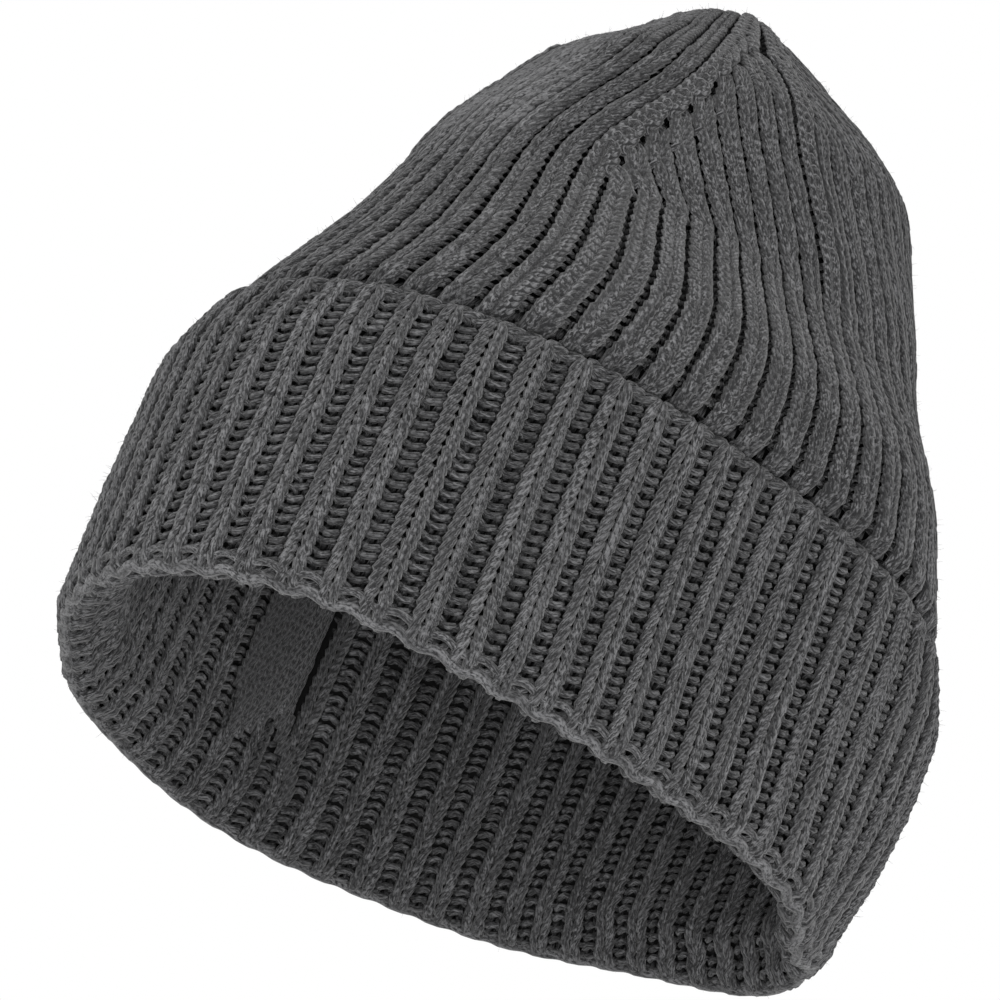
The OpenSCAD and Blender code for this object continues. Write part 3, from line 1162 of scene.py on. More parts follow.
def math_node(tree: bpy.types.NodeTree, operation: str, *values: object) -> bpy.types.NodeSocket:
    """Add a Math node whose inputs are sockets or numbers, and return its result.

    Args:
        tree: The node tree.
        operation: Blender's name for the operation.
        values: Sockets or numbers for the inputs, in order.

    Returns:
        The result's socket.
    """
    node = tree.nodes.new("ShaderNodeMath")
    node.operation = operation
    for slot, value in zip(node.inputs, values):
        feed(tree, slot, value)
    return node.outputs[0]


def colour_node(tree: bpy.types.NodeTree, blend: str, *values: object) -> bpy.types.NodeSocket:
    """Add a colour Mix node, given its share and two colours as sockets or values, and return its result.

    Args:
        tree: The node tree.
        blend: Blender's name for the way of mixing.
        values: The share, the first colour and the second, as sockets or values.

    Returns:
        The result's socket.
    """
    node = tree.nodes.new("ShaderNodeMix")
    node.data_type, node.blend_type = "RGBA", blend
    share, first, second, result = 0, 6, 7, 2
    for slot, value in zip((share, first, second), values):
        feed(tree, node.inputs[slot], value)
    return node.outputs[result]


def noise_node(
    tree: bpy.types.NodeTree, place: bpy.types.NodeSocket, settings: dict[str, float]
) -> bpy.types.NodeSocket:
    """Add a Noise Texture read at a place, with its inputs set by name, and return its value.

    Args:
        tree: The node tree.
        place: Where the noise is read.
        settings: Inputs by name.

    Returns:
        The value's socket.
    """
    node = tree.nodes.new("ShaderNodeTexNoise")
    for name, value in settings.items():
        node.inputs[name].default_value = value
    tree.links.new(place, node.inputs["Vector"])
    return node.outputs["Fac"]


def marl_group() -> bpy.types.NodeTree:
    """Shader group of a marl yarn: twisted plies, fibres along them, their mixed greys, and painted shade
    in the ply grooves and where the yarn lies low.

    Returns:
        The group, with Color, Height and Rough outputs.
    """
    ply_round, stretch, toned, patched = 0.6, 0.85, 0.013, 0.04
    # The first two shares set painted shade: lightness kept in the ply grooves, and in yarn fully in shade.
    painted_groove_shade, fully_shaded_share, fibre_height, fibre_gloss = 0.25, 0.06, 1.3, 0.2
    tree = bpy.data.node_groups.new("marl_plies", "ShaderNodeTree")
    socket(tree, "Yarn", "INPUT", "Vector")
    socket(tree, "Tone", "INPUT", "Float", 0.0)
    # share of the yarn spared the painted shade
    socket(tree, "Air", "INPUT", "Float", 1.0)
    socket(tree, "Twist", "INPUT", "Float", 7.0)
    socket(tree, "Fibre", "INPUT", "Float", 3.2)
    socket(tree, "Dark", "INPUT", "Color", (0.03, 0.03, 0.032, 1))
    socket(tree, "Light", "INPUT", "Color", (0.2, 0.2, 0.205, 1))
    socket(tree, "Color", "OUTPUT", "Color")
    socket(tree, "Height", "OUTPUT", "Float")
    socket(tree, "Rough", "OUTPUT", "Float")
    nodes, links = tree.nodes, tree.links
    given, result = nodes.new("NodeGroupInput"), nodes.new("NodeGroupOutput")
    parts = nodes.new("ShaderNodeSeparateXYZ")
    links.new(given.outputs["Yarn"], parts.inputs[0])
    around = math_node(tree, "ARCTAN2", parts.outputs[1], parts.outputs[0])
    turns = math_node(tree, "DIVIDE", parts.outputs[2], given.outputs["Twist"])
    angle = math_node(tree, "MULTIPLY_ADD", turns, TURN, around)
    c, s = math_node(tree, "COSINE", angle), math_node(tree, "SINE", angle)
    ply = math_node(tree, "POWER", math_node(tree, "ABSOLUTE", c), ply_round)
    place = nodes.new("ShaderNodeCombineXYZ")
    links.new(math_node(tree, "MULTIPLY", c, given.outputs["Fibre"]), place.inputs[0])
    links.new(math_node(tree, "MULTIPLY", s, given.outputs["Fibre"]), place.inputs[1])
    links.new(math_node(tree, "MULTIPLY", parts.outputs[2], stretch), place.inputs[2])
    fibres = noise_node(tree, place.outputs[0], {"Scale": 1.0, "Detail": 3.0, "Roughness": 0.62})
    wide = noise_node(tree, place.outputs[0], {"Scale": 0.13, "Detail": 1.0})
    lifted = math_node(tree, "MULTIPLY_ADD", given.outputs["Tone"], toned, fibres)
    lifted = math_node(tree, "MULTIPLY_ADD", wide, patched, lifted)
    share = nodes.new("ShaderNodeMapRange")
    share.inputs["From Min"].default_value = 0.45
    share.inputs["From Max"].default_value = 0.65
    links.new(lifted, share.inputs["Value"])
    # Painted shade: the grooves between the plies are darkened in the colour.
    groove_shade = math_node(tree, "MULTIPLY_ADD", ply, 1 - painted_groove_shade, painted_groove_shade)
    lightness = math_node(tree, "MULTIPLY", share.outputs["Result"], groove_shade)
    marl = colour_node(tree, "MIX", lightness, given.outputs["Dark"], given.outputs["Light"])
    # Painted shade: the colour is darkened where the yarn lies low between the ribs.
    depth = math_node(tree, "MULTIPLY_ADD", given.outputs["Air"], 1 - fully_shaded_share, fully_shaded_share)
    links.new(colour_node(tree, "MULTIPLY", 1.0, marl, depth), result.inputs["Color"])
    links.new(math_node(tree, "MULTIPLY_ADD", fibres, fibre_height, ply), result.inputs["Height"])
    links.new(math_node(tree, "MULTIPLY_ADD", fibres, -fibre_gloss, 0.98), result.inputs["Rough"])
    return tree


@dataclass(frozen=True)
class YarnFinish:
    """A marl yarn: its two greys, the length of one twist, and how much its fibres shine."""

    name: str
    dark: tuple[float, float, float] = (0.023, 0.023, 0.024)
    light: tuple[float, float, float] = (0.205, 0.205, 0.211)
    twist: float = 60.0
    fibre: float = 2.1
    relief: float = 0.28
    bump: float = 0.9
    sheen: float = 0.25
    sheen_rough: float = 0.55
    specular: float = 0.06

    def material(self, group: bpy.types.NodeTree) -> bpy.types.Material:
        """Build the material around the marl group.

        Args:
            group: The shared shader group of twisted plies.

        Returns:
            The material.
        """
        mat = bpy.data.materials.new(self.name)
        mat.use_nodes = True
        nodes, links = mat.node_tree.nodes, mat.node_tree.links
        shader = nodes["Principled BSDF"]
        shader.inputs["Sheen Roughness"].default_value = self.sheen_rough
        shader.inputs["Specular IOR Level"].default_value = self.specular
        marl = nodes.new("ShaderNodeGroup")
        marl.node_tree = group
        marl.inputs["Twist"].default_value = self.twist
        marl.inputs["Fibre"].default_value = self.fibre
        marl.inputs["Dark"].default_value = (*self.dark, 1)
        marl.inputs["Light"].default_value = (*self.light, 1)
        reads = {}
        for key, kind in (("yarn", "Vector"), ("tone", "Fac"), ("air", "Fac")):
            node = nodes.new("ShaderNodeAttribute")
            node.attribute_name = key
            reads[key] = node.outputs[kind]
            links.new(reads[key], marl.inputs[key.capitalize()])
        # The sheen is dimmed by the same painted shade.
        sheen = math_node(mat.node_tree, "MULTIPLY", reads["air"], self.sheen)
        links.new(sheen, shader.inputs["Sheen Weight"])
        bump = nodes.new("ShaderNodeBump")
        bump.inputs["Strength"].default_value = self.bump
        bump.inputs["Distance"].default_value = self.relief * MM
        links.new(marl.outputs["Height"], bump.inputs["Height"])
        links.new(marl.outputs["Color"], shader.inputs["Base Color"])
        links.new(marl.outputs["Rough"], shader.inputs["Roughness"])
        links.new(bump.outputs["Normal"], shader.inputs["Normal"])
        return mat


@dataclass(frozen=True)
class ShadeSheetFinish:
    """A dark sheet inside the fabric that paints the shade seen between its loops."""

    name: str = "fabric_core"
    grey: float = 0.006
    darker: float = 0.5
    lighter: float = 1.7
    mottle: float = 900

    def material(self) -> bpy.types.Material:
        """Build a dull, slightly mottled material."""
        mat = bpy.data.materials.new(self.name)
        mat.use_nodes = True
        nodes, links = mat.node_tree.nodes, mat.node_tree.links
        shader = nodes["Principled BSDF"]
        shader.inputs["Specular IOR Level"].default_value = 0.1
        shader.inputs["Roughness"].default_value = 1.0
        where = nodes.new("ShaderNodeTexCoord")
        noise = noise_node(mat.node_tree, where.outputs["Object"], {"Scale": self.mottle})
        greys = ((share * self.grey,) * 3 + (1,) for share in (self.darker, self.lighter))
        links.new(colour_node(mat.node_tree, "MIX", noise, *greys), shader.inputs["Base Color"])
        return mat


# --------------------------------------------------------------------------- the hat's pieces


@dataclass(frozen=True)
class Scallops:
    """A strand that hangs in one scallop under each rib: its place, how far it dips, and its look; a raised
    tone is a painted highlight.

    Along is in courses past the turning row, and out in millimetres off the fabric's middle surface.
    """

    along: float
    dip_along: float
    out: float
    dip_out: float
    half: float
    tone: float


@dataclass(frozen=True)
class EdgeStitch:
    """The two slanting legs of a selvedge's stitch, in millimetres, or in courses along the edge."""

    column: float = 2.7
    apart: float = 0.6
    slant: float = 0.3
    tall: float = 0.95
    half: float = 0.95
    bulge: float = 0.6
    stray: float = 0.16
    look: float = 0.3
    most_lean: float = 0.9
    tone: float = 0.3
    points: int = 7
    seed: int = 11


@dataclass
class Trimmings:
    """The single strands: the cast-on edge, the fold's turning yarn, the seam and the gathering thread.

    Flap and under are the selvedges' sections: millimetres across from the seam, and in from the wall.
    """

    fabric: Fabric
    phase: float = 0.0
    yarn_d: float = 2.2
    clear: float = 0.3
    rib_points: int = 12
    cord_row: float = -0.1
    cord_wind_rows: float = 0.32
    cord_out: float = 0.15
    cord_half: float = 0.85
    cord_tone: float = -0.6
    turn_at: float = 0.44
    scallops: tuple[Scallops, ...] = (
        # The first strand's tone of 4 is a painted highlight, where the fold's edge catches the light.
        Scallops(-0.2, 0.32, -1.1, -0.3, 1.35, 4.0),
        Scallops(-1.25, 0.4, -0.95, 0.1, 0.9, 0.0),
    )
    flap: tuple[tuple[float, float], ...] = (
        (-3.4, 3.4),
        (-3.0, 4.9),
        (-1.2, 5.6),
        (2.0, 5.1),
        (5.0, 3.6),
        (8.0, 1.6),
        (10.0, 0.3),
    )
    under: tuple[tuple[float, float], ...] = ((-2.2, 0.6), (-4.0, 1.4), (-5.6, 0.9), (-6.8, 0.2))
    stitch: EdgeStitch = EdgeStitch()
    grow_rows: float = 8
    splay: float = 11.0
    seam_from: float = 0.3
    seam_share: float = 0.44
    sewing_at: float = -3.6
    sewing_points: int = 12
    sewing_sway: float = 0.35
    sewing_sink: float = 1.3
    sewing_rise: float = 0.5
    sewing_half: float = 0.5
    sewing_tone: float = -2.0
    gather_r: float = 5.0
    gather_down: float = 1.5
    gather_half: float = 0.4
    gather_sway: float = 0.3
    gather_waves: tuple[int, int] = (7, 6)
    gather_points: int = 96
    gather_rounds: tuple[tuple[float, float], ...] = ((0.35, 0.95), (-0.35, 1.05))

    def rib_steps(self) -> np.ndarray:
        """Places around the hat, in ribs, at which the strands that follow the ribs are laid."""
        return np.arange(self.fabric.shape.rib_count * self.rib_points) / self.rib_points

    def cast_on(self) -> list[Strand]:
        """Two strands wound around each other along the cuff's free edge, a turn for each rib.

        Returns:
            The two closed strands.
        """
        u = self.rib_steps()
        out = []
        for start in (0, math.pi):
            turn = TURN * u + start
            row = self.cord_row - self.cord_wind_rows * np.cos(turn)
            off = self.cord_out + self.cord_half * np.sin(turn)
            points, normals = self.fabric.lay(u + self.phase, row, off)
            out.append(Strand.plain(points, normals, self.cord_half, self.cord_tone, True))
        return out

    def turning(self) -> list[Strand]:
        """The two strands along the fold, hanging in one scallop under each rib of the cuff.

        Returns:
            The two closed strands.
        """
        f, u = self.fabric, self.rib_steps()
        dip = 0.5 + 0.5 * np.cos(TURN * (u - 0.5))
        row = f.start[Zone.FOLD] + f.count[Zone.FOLD] * self.turn_at
        out = []
        for part in self.scallops:
            along, off = row + part.along + part.dip_along * dip, part.out + part.dip_out * dip
            points, normals = f.lay(u + self.phase, along, off)
            out.append(Strand.plain(points, normals, part.half, part.tone, True))
        return out

    def seam_place(self, row: np.ndarray, across: np.ndarray, depth: np.ndarray) -> np.ndarray:
        """Points beside the back seam: millimetres across, and in from the wall.

        Args:
            row: Courses from the cast-on edge.
            across: Millimetres from the seam's middle.
            depth: Millimetres in from the wall's inner face.

        Returns:
            Points in millimetres.
        """
        f, s = self.fabric, self.fabric.shape
        middle = np.full(row.shape, s.rib_count / 2)
        z = f.read(f.places, middle, row)[..., 2]
        around = across / (s.half_w(z) * s.ratio(z)) * s.rib_count / TURN
        return f.settle(s.skin_point(middle + around, z, -s.fabric_t - self.clear - depth))

    def seam_rows(self, steps: int) -> np.ndarray:
        """Rows from the fold's inner edge to the seam's end in the crown.

        Args:
            steps: How many rows for each course.

        Returns:
            Courses from the cast-on edge.
        """
        f = self.fabric
        first = f.start[Zone.WALL] + self.seam_from
        last = f.start[Zone.CROWN] + self.seam_share * f.count[Zone.CROWN]
        return np.linspace(first, last, round((last - first) * steps))

    def selvedge(self, side: int) -> list[Strand]:
        """One panel's edge stitches.

        Args:
            side: 1 for the right edge, which lies over as a flap, -1 for the left, which stays low under it.

        Returns:
            Two strands for each stitch.
        """
        stitch, profile = self.stitch, np.array(self.flap if side > 0 else self.under)
        length = np.concatenate([[0], np.cumsum(np.hypot(*np.diff(profile, axis=0).T))])
        columns = round(length[-1] / stitch.column)
        way = np.sign(profile[-1, 0] - profile[0, 0])
        t = np.linspace(-1, 1, stitch.points)
        rng = np.random.default_rng(stitch.seed)
        rows, out = self.seam_rows(1), []
        for row in rows:
            grown = float(ease(np.array((row - rows[0]) / self.grow_rows)))
            for i in range(max(1, round(columns * grown))):
                middle = (i + 0.5) * length[-1] / columns
                for leg in (-1, 1):
                    stray = rng.normal(0, stitch.stray, 3)
                    at = middle + leg * (stitch.apart + stitch.slant * t) + stray[0]
                    across, depth = (np.interp(at, length, part) for part in profile.T)
                    rise = np.interp(at + stitch.look, length, profile[:, 1])
                    rise = rise - np.interp(at - stitch.look, length, profile[:, 1])
                    lean = np.clip(way * rise / (2 * stitch.look), -stitch.most_lean, stitch.most_lean)
                    across = across + side * self.splay * (1 - grown)
                    depth = depth * grown + stitch.bulge * (1 - t * t) + stray[1]
                    places = self.seam_place(row + stitch.tall * t + stray[2], across, depth)
                    face = np.stack([lean, -np.sqrt(1 - lean**2), 0 * lean], -1)
                    out.append(Strand.plain(places, face, stitch.half, stitch.tone))
        return out

    def sewing(self) -> list[Strand]:
        """The sewing yarn, drawn up beside the flap's free edge in small even stitches.

        Returns:
            The one strand.
        """
        row = self.seam_rows(self.sewing_points)
        t, half = TURN * row, self.yarn_d / 2
        across = self.sewing_at + self.sewing_sway * half * np.sin(t)
        depth = half * (self.sewing_sink + self.sewing_rise * np.cos(t))
        places = self.seam_place(row, across, depth)
        aside = np.zeros_like(places) + (1.0, 0.0, 0.0)
        return [Strand.plain(places, aside, self.sewing_half * half, self.sewing_tone)]

    def gathering(self) -> list[Strand]:
        """The thread drawn through the last stitches, in two rounds.

        Returns:
            The two closed strands.
        """
        s = self.fabric.shape
        x, y = s.middle(np.array(s.hat_h))
        level = s.hat_h - s.fabric_t - self.gather_down * self.yarn_d
        around, up_down = self.gather_waves
        t = TURN * np.arange(self.gather_points) / self.gather_points
        out = []
        for lift, size in self.gather_rounds:
            r = self.gather_r * size + self.gather_sway * np.sin(around * t)
            z = level + lift * self.yarn_d + self.gather_sway * np.cos(up_down * t)
            places = self.fabric.settle(np.stack([x + r * np.cos(t), y + r * np.sin(t), z], -1))
            up = np.zeros_like(places) + (0.0, 0.0, 1.0)
            out.append(Strand.plain(places, up, self.gather_half * self.yarn_d, 0.0, True))
        return out


@dataclass
class KnitHat:
    """The whole hat: one knitted fabric, laid as cuff, rolled fold, wall and gored crown.

    Travel, cuts and holds are in metres; the places of the dark core sheet, which paints the shade
    between the loops, are in millimetres off the middle surface.
    """

    fabric: Fabric = field(default_factory=Fabric)
    sides: int = 6
    strand_sides: int = 8
    courses_a_piece: int = 8
    hair: LooseFibres = LooseFibres()
    hair_sides: int = 3
    fuzz_a_course: int = 150
    travel: float = 0.036
    fold_hold: tuple[float, float, float] = (0, 0, 0.0133)
    wall_hold: tuple[float, float, float] = (0, 0, 0.125)
    gore_names: tuple[str, ...] = (
        "gore_front",
        "gore_front_left",
        "gore_back_left",
        "gore_back",
        "gore_back_right",
        "gore_front_right",
    )
    wale_names: tuple[str, ...] = (
        "wale_front_right",
        "wale_front_left",
        "wale_left",
        "wale_back_left",
        "wale_back_right",
        "wale_right",
    )
    crown_end: float = 0.975
    # Places of the dark core sheet, which paints the shade seen between the loops.
    core_half: float = 0.12
    core_out: float = 1.5
    core_in: float = 4.0
    core_wall: float = 0.2
    core_turns: tuple[int, ...] = (-4, 1, 20, 27)
    core_cuff: float = 1.4
    core_short: float = 4.0
    core_rows: float = 0.8
    core_ribs: float = 0.5
    wale_foot: float = 0.012
    rib_rows: int = 200
    rib_cut: float = 0.0096
    course_cut: float = 0.0027
    crown_cut: float = 0.5

    def __post_init__(self) -> None:
        """Make the knitting and the finishes."""
        self.knitting = Knitting(self.fabric)
        group = marl_group()
        self.marl = YarnFinish("marl_yarn").material(group)
        self.thread = YarnFinish("sewing_thread", twist=9.0, fibre=3.0).material(group)
        self.core = ShadeSheetFinish().material()

    def dress(self, obj: bpy.types.Object, mat: bpy.types.Material) -> bpy.types.Object:
        """Give a piece its material, and report it.

        Args:
            obj: The piece.
            mat: Its material.

        Returns:
            The piece.
        """
        obj.data.materials.append(mat)
        log.info("%s: %d faces", obj.name, len(obj.data.polygons))
        return obj

    def band(self, zone: Zone, name: str, slot: str) -> list[bpy.types.Object]:
        """Knit a zone as bands of whole courses.

        Args:
            zone: The length of fabric.
            name: The pieces' common name.
            slot: The record's material slot.

        Returns:
            The pieces, lowest row first.
        """
        f = self.fabric
        rows = [f.start[zone] + i + 0.5 for i in range(f.count[zone])]
        bands = max(1, round(len(rows) / self.courses_a_piece))
        out, every = [], []
        for i, part in enumerate(np.array_split(rows, bands)):
            strands = [self.knitting.course(float(r))[0] for r in part]
            every += strands
            out.append(self.dress(tube(strands, self.sides, f"{name}_{i + 1}"), self.marl))
        out.append(self.loose(every, name, slot))
        return out

    def loose(self, strands: list[Strand], name: str, slot: str) -> bpy.types.Object:
        """Add the loose fibres of some courses as one piece.

        Args:
            strands: The courses' strands.
            name: The pieces' common name.
            slot: Not used.

        Returns:
            The piece.
        """
        hairs = self.hair.grow(strands, self.fuzz_a_course * len(strands), self.knitting.rng)
        return self.dress(tube(hairs, self.hair_sides, f"{name}_fuzz"), self.marl)

    def crown(self) -> dict[str, bpy.types.Object]:
        """Knit the crown, cut at its wales into gores and wales.

        Returns:
            The knitted piece of each CAD node.
        """
        f, t = self.fabric, self.knitting.samples
        runs: dict[str, list[Strand]] = {n: [] for n in self.gore_names + self.wale_names}
        for i in range(int(f.count[Zone.CROWN] * self.crown_end)):
            strand, cols = self.knitting.course(f.start[Zone.CROWN] + i + 0.5)
            marks = [j for j, c in enumerate(cols) if c.wale >= 0]
            for mark, after in zip(marks, marks[1:] + [len(cols)]):
                wale, gore = self.wale_names[cols[mark].wale], self.gore_names[cols[mark].gore]
                runs[wale].append(strand.cut(mark * t, (mark + 1) * t))
                runs[gore].append(strand.cut((mark + 1) * t, after * t))
        out, every = {}, []
        for name, strands in runs.items():
            every += strands
            out[name] = self.dress(tube(strands, self.sides, f"{name}_knit"), self.marl)
        hairs = self.hair.grow(every, self.fuzz_a_course * f.count[Zone.CROWN] // 2, self.knitting.rng)
        hair = tube(hairs, self.hair_sides, "crown_knit_fuzz")
        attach(self.dress(hair, self.marl), "hat_body")
        return out

    def core_sheet(self, name: str, first: float, last: float) -> bpy.types.Object:
        """Lay the thin dark core, a sheet of painted shade seen between the loops, between two rows of the
        fabric.

        Args:
            name: The piece's name.
            first: Row at which it starts.
            last: Row at which it ends.

        Returns:
            The closed, thin sheet.
        """
        f = self.fabric
        rows = np.linspace(first, last, max(3, round((last - first) * self.core_rows)))
        u = np.arange(0, f.shape.rib_count, self.core_ribs)
        uu, rr = (grid.ravel() for grid in np.meshgrid(u, rows))
        offs = [self.core_out, self.core_wall, self.core_wall, -self.core_in]
        off = np.interp(rr - f.start[Zone.WALL], self.core_turns, offs)
        skins = [f.lay(uu, rr, off + side * self.core_half)[0] for side in (1, -1)]
        m, n = len(u), len(rows)
        i, j = np.meshgrid(np.arange(m), np.arange(n - 1))
        a, b = j * m + i, j * m + (i + 1) % m
        top = np.stack([a, b, b + m, a + m], -1).reshape(-1, 4)
        faces = [top, top[:, ::-1] + m * n]
        k = np.arange(m)
        for row, flip in ((0, False), (n - 1, True)):
            p, q = row * m + k, row * m + (k + 1) % m
            rim = np.stack([q, p, p + m * n, q + m * n], -1)
            faces.append(rim[:, ::-1] if flip else rim)
        quads = np.concatenate(faces)
        uvs = np.tile(np.array([[0, 0], [1, 0], [1, 1], [0, 1]], float), (len(quads), 1))
        obj = mesh_object(name, np.concatenate(skins), quads, [], uvs, {})
        return self.dress(obj, self.core)

    def length(self, zone: Zone, slot: str, held: str, first: float, last: float) -> list[bpy.types.Object]:
        """Knit one length of the fabric around its dark core sheet of painted shade.

        Args:
            zone: The length of fabric.
            slot: The record's material slot.
            held: Not used.
            first: Row at which its core starts.
            last: Row at which its core ends.

        Returns:
            The knitted pieces and, last, the dark core sheet of painted shade.
        """
        name = "rim" if zone is Zone.FOLD else zone.value
        knit = self.band(zone, f"{name}_knit", slot)
        core = self.core_sheet(f"{name}_core", first, last)
        return knit + [core]

    def build(self) -> None:
        """Knit every piece, stand it for its CAD nodes, and ride it on its bodies."""
        f, hold = self.fabric, self.fold_hold
        fold_row, wall_row, crown_row = (f.start[zone] for zone in (Zone.FOLD, Zone.WALL, Zone.CROWN))
        for piece in self.length(Zone.CUFF, "cuff_knit", "folded", self.core_cuff, fold_row):
            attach(piece, "cuff_fold")
            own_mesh(piece)
            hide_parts("cuff_band")
        for piece in self.length(Zone.FOLD, "cuff_knit", "folded", fold_row, wall_row):
            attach(piece, "cuff_fold")
            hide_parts("rim_fold")
        for piece in self.length(Zone.WALL, "marl_knit", "stretched", wall_row, crown_row):
            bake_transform(piece)
            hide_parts("side_wall")
        crown = self.crown()
        for name, piece in crown.items():
            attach(piece, "hat_body")
            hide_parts(name)
        top = self.core_sheet("crown_core", crown_row, f.rows - self.core_short)
        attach(top, "hat_body")
        self.trim()

    def shown(self, points: "PhotoPoints") -> dict[str, np.ndarray]:
        """The vertices of what each image point names, in metres.

        Args:
            points: The image points.

        Returns:
            Points in metres under each image point's name.
        """
        f = self.fabric
        edge, turning = points.corners("cast_on_cord"), points.corners("fold_turning_yarn")
        out = {name: edge for name in IMAGE_POINTS if name.startswith("cuff_edge")}
        out |= {name: turning for name in IMAGE_POINTS if name.startswith("rim")}
        wale = points.corners("wale_front_right_knit")
        out["wale_front_right_foot"] = wale[wale[:, 2] < wale[:, 2].min() + self.wale_foot]
        out["wale_front_left_bend"] = points.corners("wale_front_left_knit")
        out |= {name: points.corners("selvedge_right") for name in ("seam_flap_edge", "seam_flap_end")}
        rows = np.linspace(0, f.start[Zone.FOLD], self.rib_rows)
        ribs = np.arange(f.shape.rib_count) + 0.5 + self.knitting.phase
        uu, rr = np.meshgrid(ribs, rows)
        out["rib_on_cuff"] = f.lay(uu.ravel(), rr.ravel(), 0 * rr.ravel() - f.cuff_out)[0] * MM
        return out

    def trim(self) -> None:
        """Add the single strands and put each on its body."""
        made, sides = Trimmings(self.fabric, self.knitting.phase), self.strand_sides
        edge = self.dress(tube(made.cast_on(), sides, "cast_on_cord"), self.marl)
        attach(edge, "cuff_edge")
        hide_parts("cast_on_edge")
        turning = self.dress(tube(made.turning(), sides, "fold_turning_yarn"), self.marl)
        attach(turning, "cuff_fold")
        seams = {
            "selvedge_left": made.selvedge(-1),
            "selvedge_right": made.selvedge(1),
            "seam_thread": made.sewing(),
        }
        for node, strands in seams.items():
            mat = self.thread if node == "seam_thread" else self.marl
            piece = self.dress(tube(strands, sides, f"{node}_loops"), mat)
            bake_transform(piece)
            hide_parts(node)
        ring = self.dress(tube(made.gathering(), sides, "gather_thread_rounds"), self.thread)
        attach(ring, "hat_body")
        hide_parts("gather_thread")


# --------------------------------------------------------------------------- camera, light and floor


@dataclass(frozen=True)
class PhotoCamera:
    """The photograph's view: a long lens, low on the hat's front right, looking up into the rim."""

    azimuth: float = -31.1
    elevation: float = 21.4
    roll: float = 23.1
    distance: float = 1.8
    lens: float = 265.7
    sensor: float = 36.0
    clip: tuple[float, float] = (0.1, 20)
    aim: tuple[float, float, float] = (0.0, -0.00401, 0.1)
    aim_right: float = 0.0176
    aim_up: float = 0.0146

    def axes(self) -> tuple[Vector, Vector, Vector]:
        """The camera's right, up and forward directions.

        Returns:
            Three directions of length one.
        """
        az, el, roll = (math.radians(x) for x in (self.azimuth, self.elevation, self.roll))
        fwd = Vector((-math.sin(az) * math.cos(el), math.cos(az) * math.cos(el), math.sin(el)))
        level = Vector((math.cos(az), math.sin(az), 0))
        up = level.cross(fwd)
        right = level * math.cos(roll) + up * math.sin(roll)
        return right, up * math.cos(roll) - level * math.sin(roll), fwd

    def eye(self) -> Vector:
        """The camera's place."""
        right, up, fwd = self.axes()
        return Vector(self.aim) - fwd * self.distance - right * self.aim_right - up * self.aim_up

    def build(self) -> bpy.types.Object:
        """Make the scene's camera.

        Returns:
            The camera.
        """
        right, up, fwd = self.axes()
        data = bpy.data.cameras.new("photo_camera")
        data.lens, data.sensor_width, data.sensor_fit = self.lens, self.sensor, "AUTO"
        data.clip_start, data.clip_end = self.clip
        cam = bpy.data.objects.new("photo_camera", data)
        turn = Matrix((right, up, -fwd)).transposed().to_4x4()
        cam.matrix_world = Matrix.Translation(self.eye()) @ turn
        bpy.context.scene.collection.objects.link(cam)
        bpy.context.scene.camera = cam
        return cam

    def project(self, points: np.ndarray) -> np.ndarray:
        """Where points in metres show, in the photograph's pixels.

        Args:
            points: Places in metres.

        Returns:
            The pixels' x and y.
        """
        right, up, fwd = (np.array(a) for a in self.axes())
        q = points - np.array(self.eye())
        depth = q @ fwd
        scale = PHOTO_SIDE * self.lens / self.sensor
        half = PHOTO_SIDE / 2
        return np.stack([half + scale * (q @ right) / depth, half - scale * (q @ up) / depth], -1)


@dataclass(frozen=True)
class SoftLamp:
    """A soft square lamp turned to the hat: its place and side in metres, and its power in watts."""

    name: str
    place: tuple[float, float, float]
    watts: float
    side: float
    aim: tuple[float, float, float] = (0, 0, 0.1)

    def build(self) -> None:
        """Make the lamp."""
        data = bpy.data.lights.new(self.name, "AREA")
        data.energy, data.size = self.watts, self.side
        lamp = bpy.data.objects.new(self.name, data)
        lamp.location = self.place
        lamp.rotation_euler = (Vector(self.aim) - Vector(self.place)).to_track_quat("-Z", "Y").to_euler()
        bpy.context.scene.collection.objects.link(lamp)


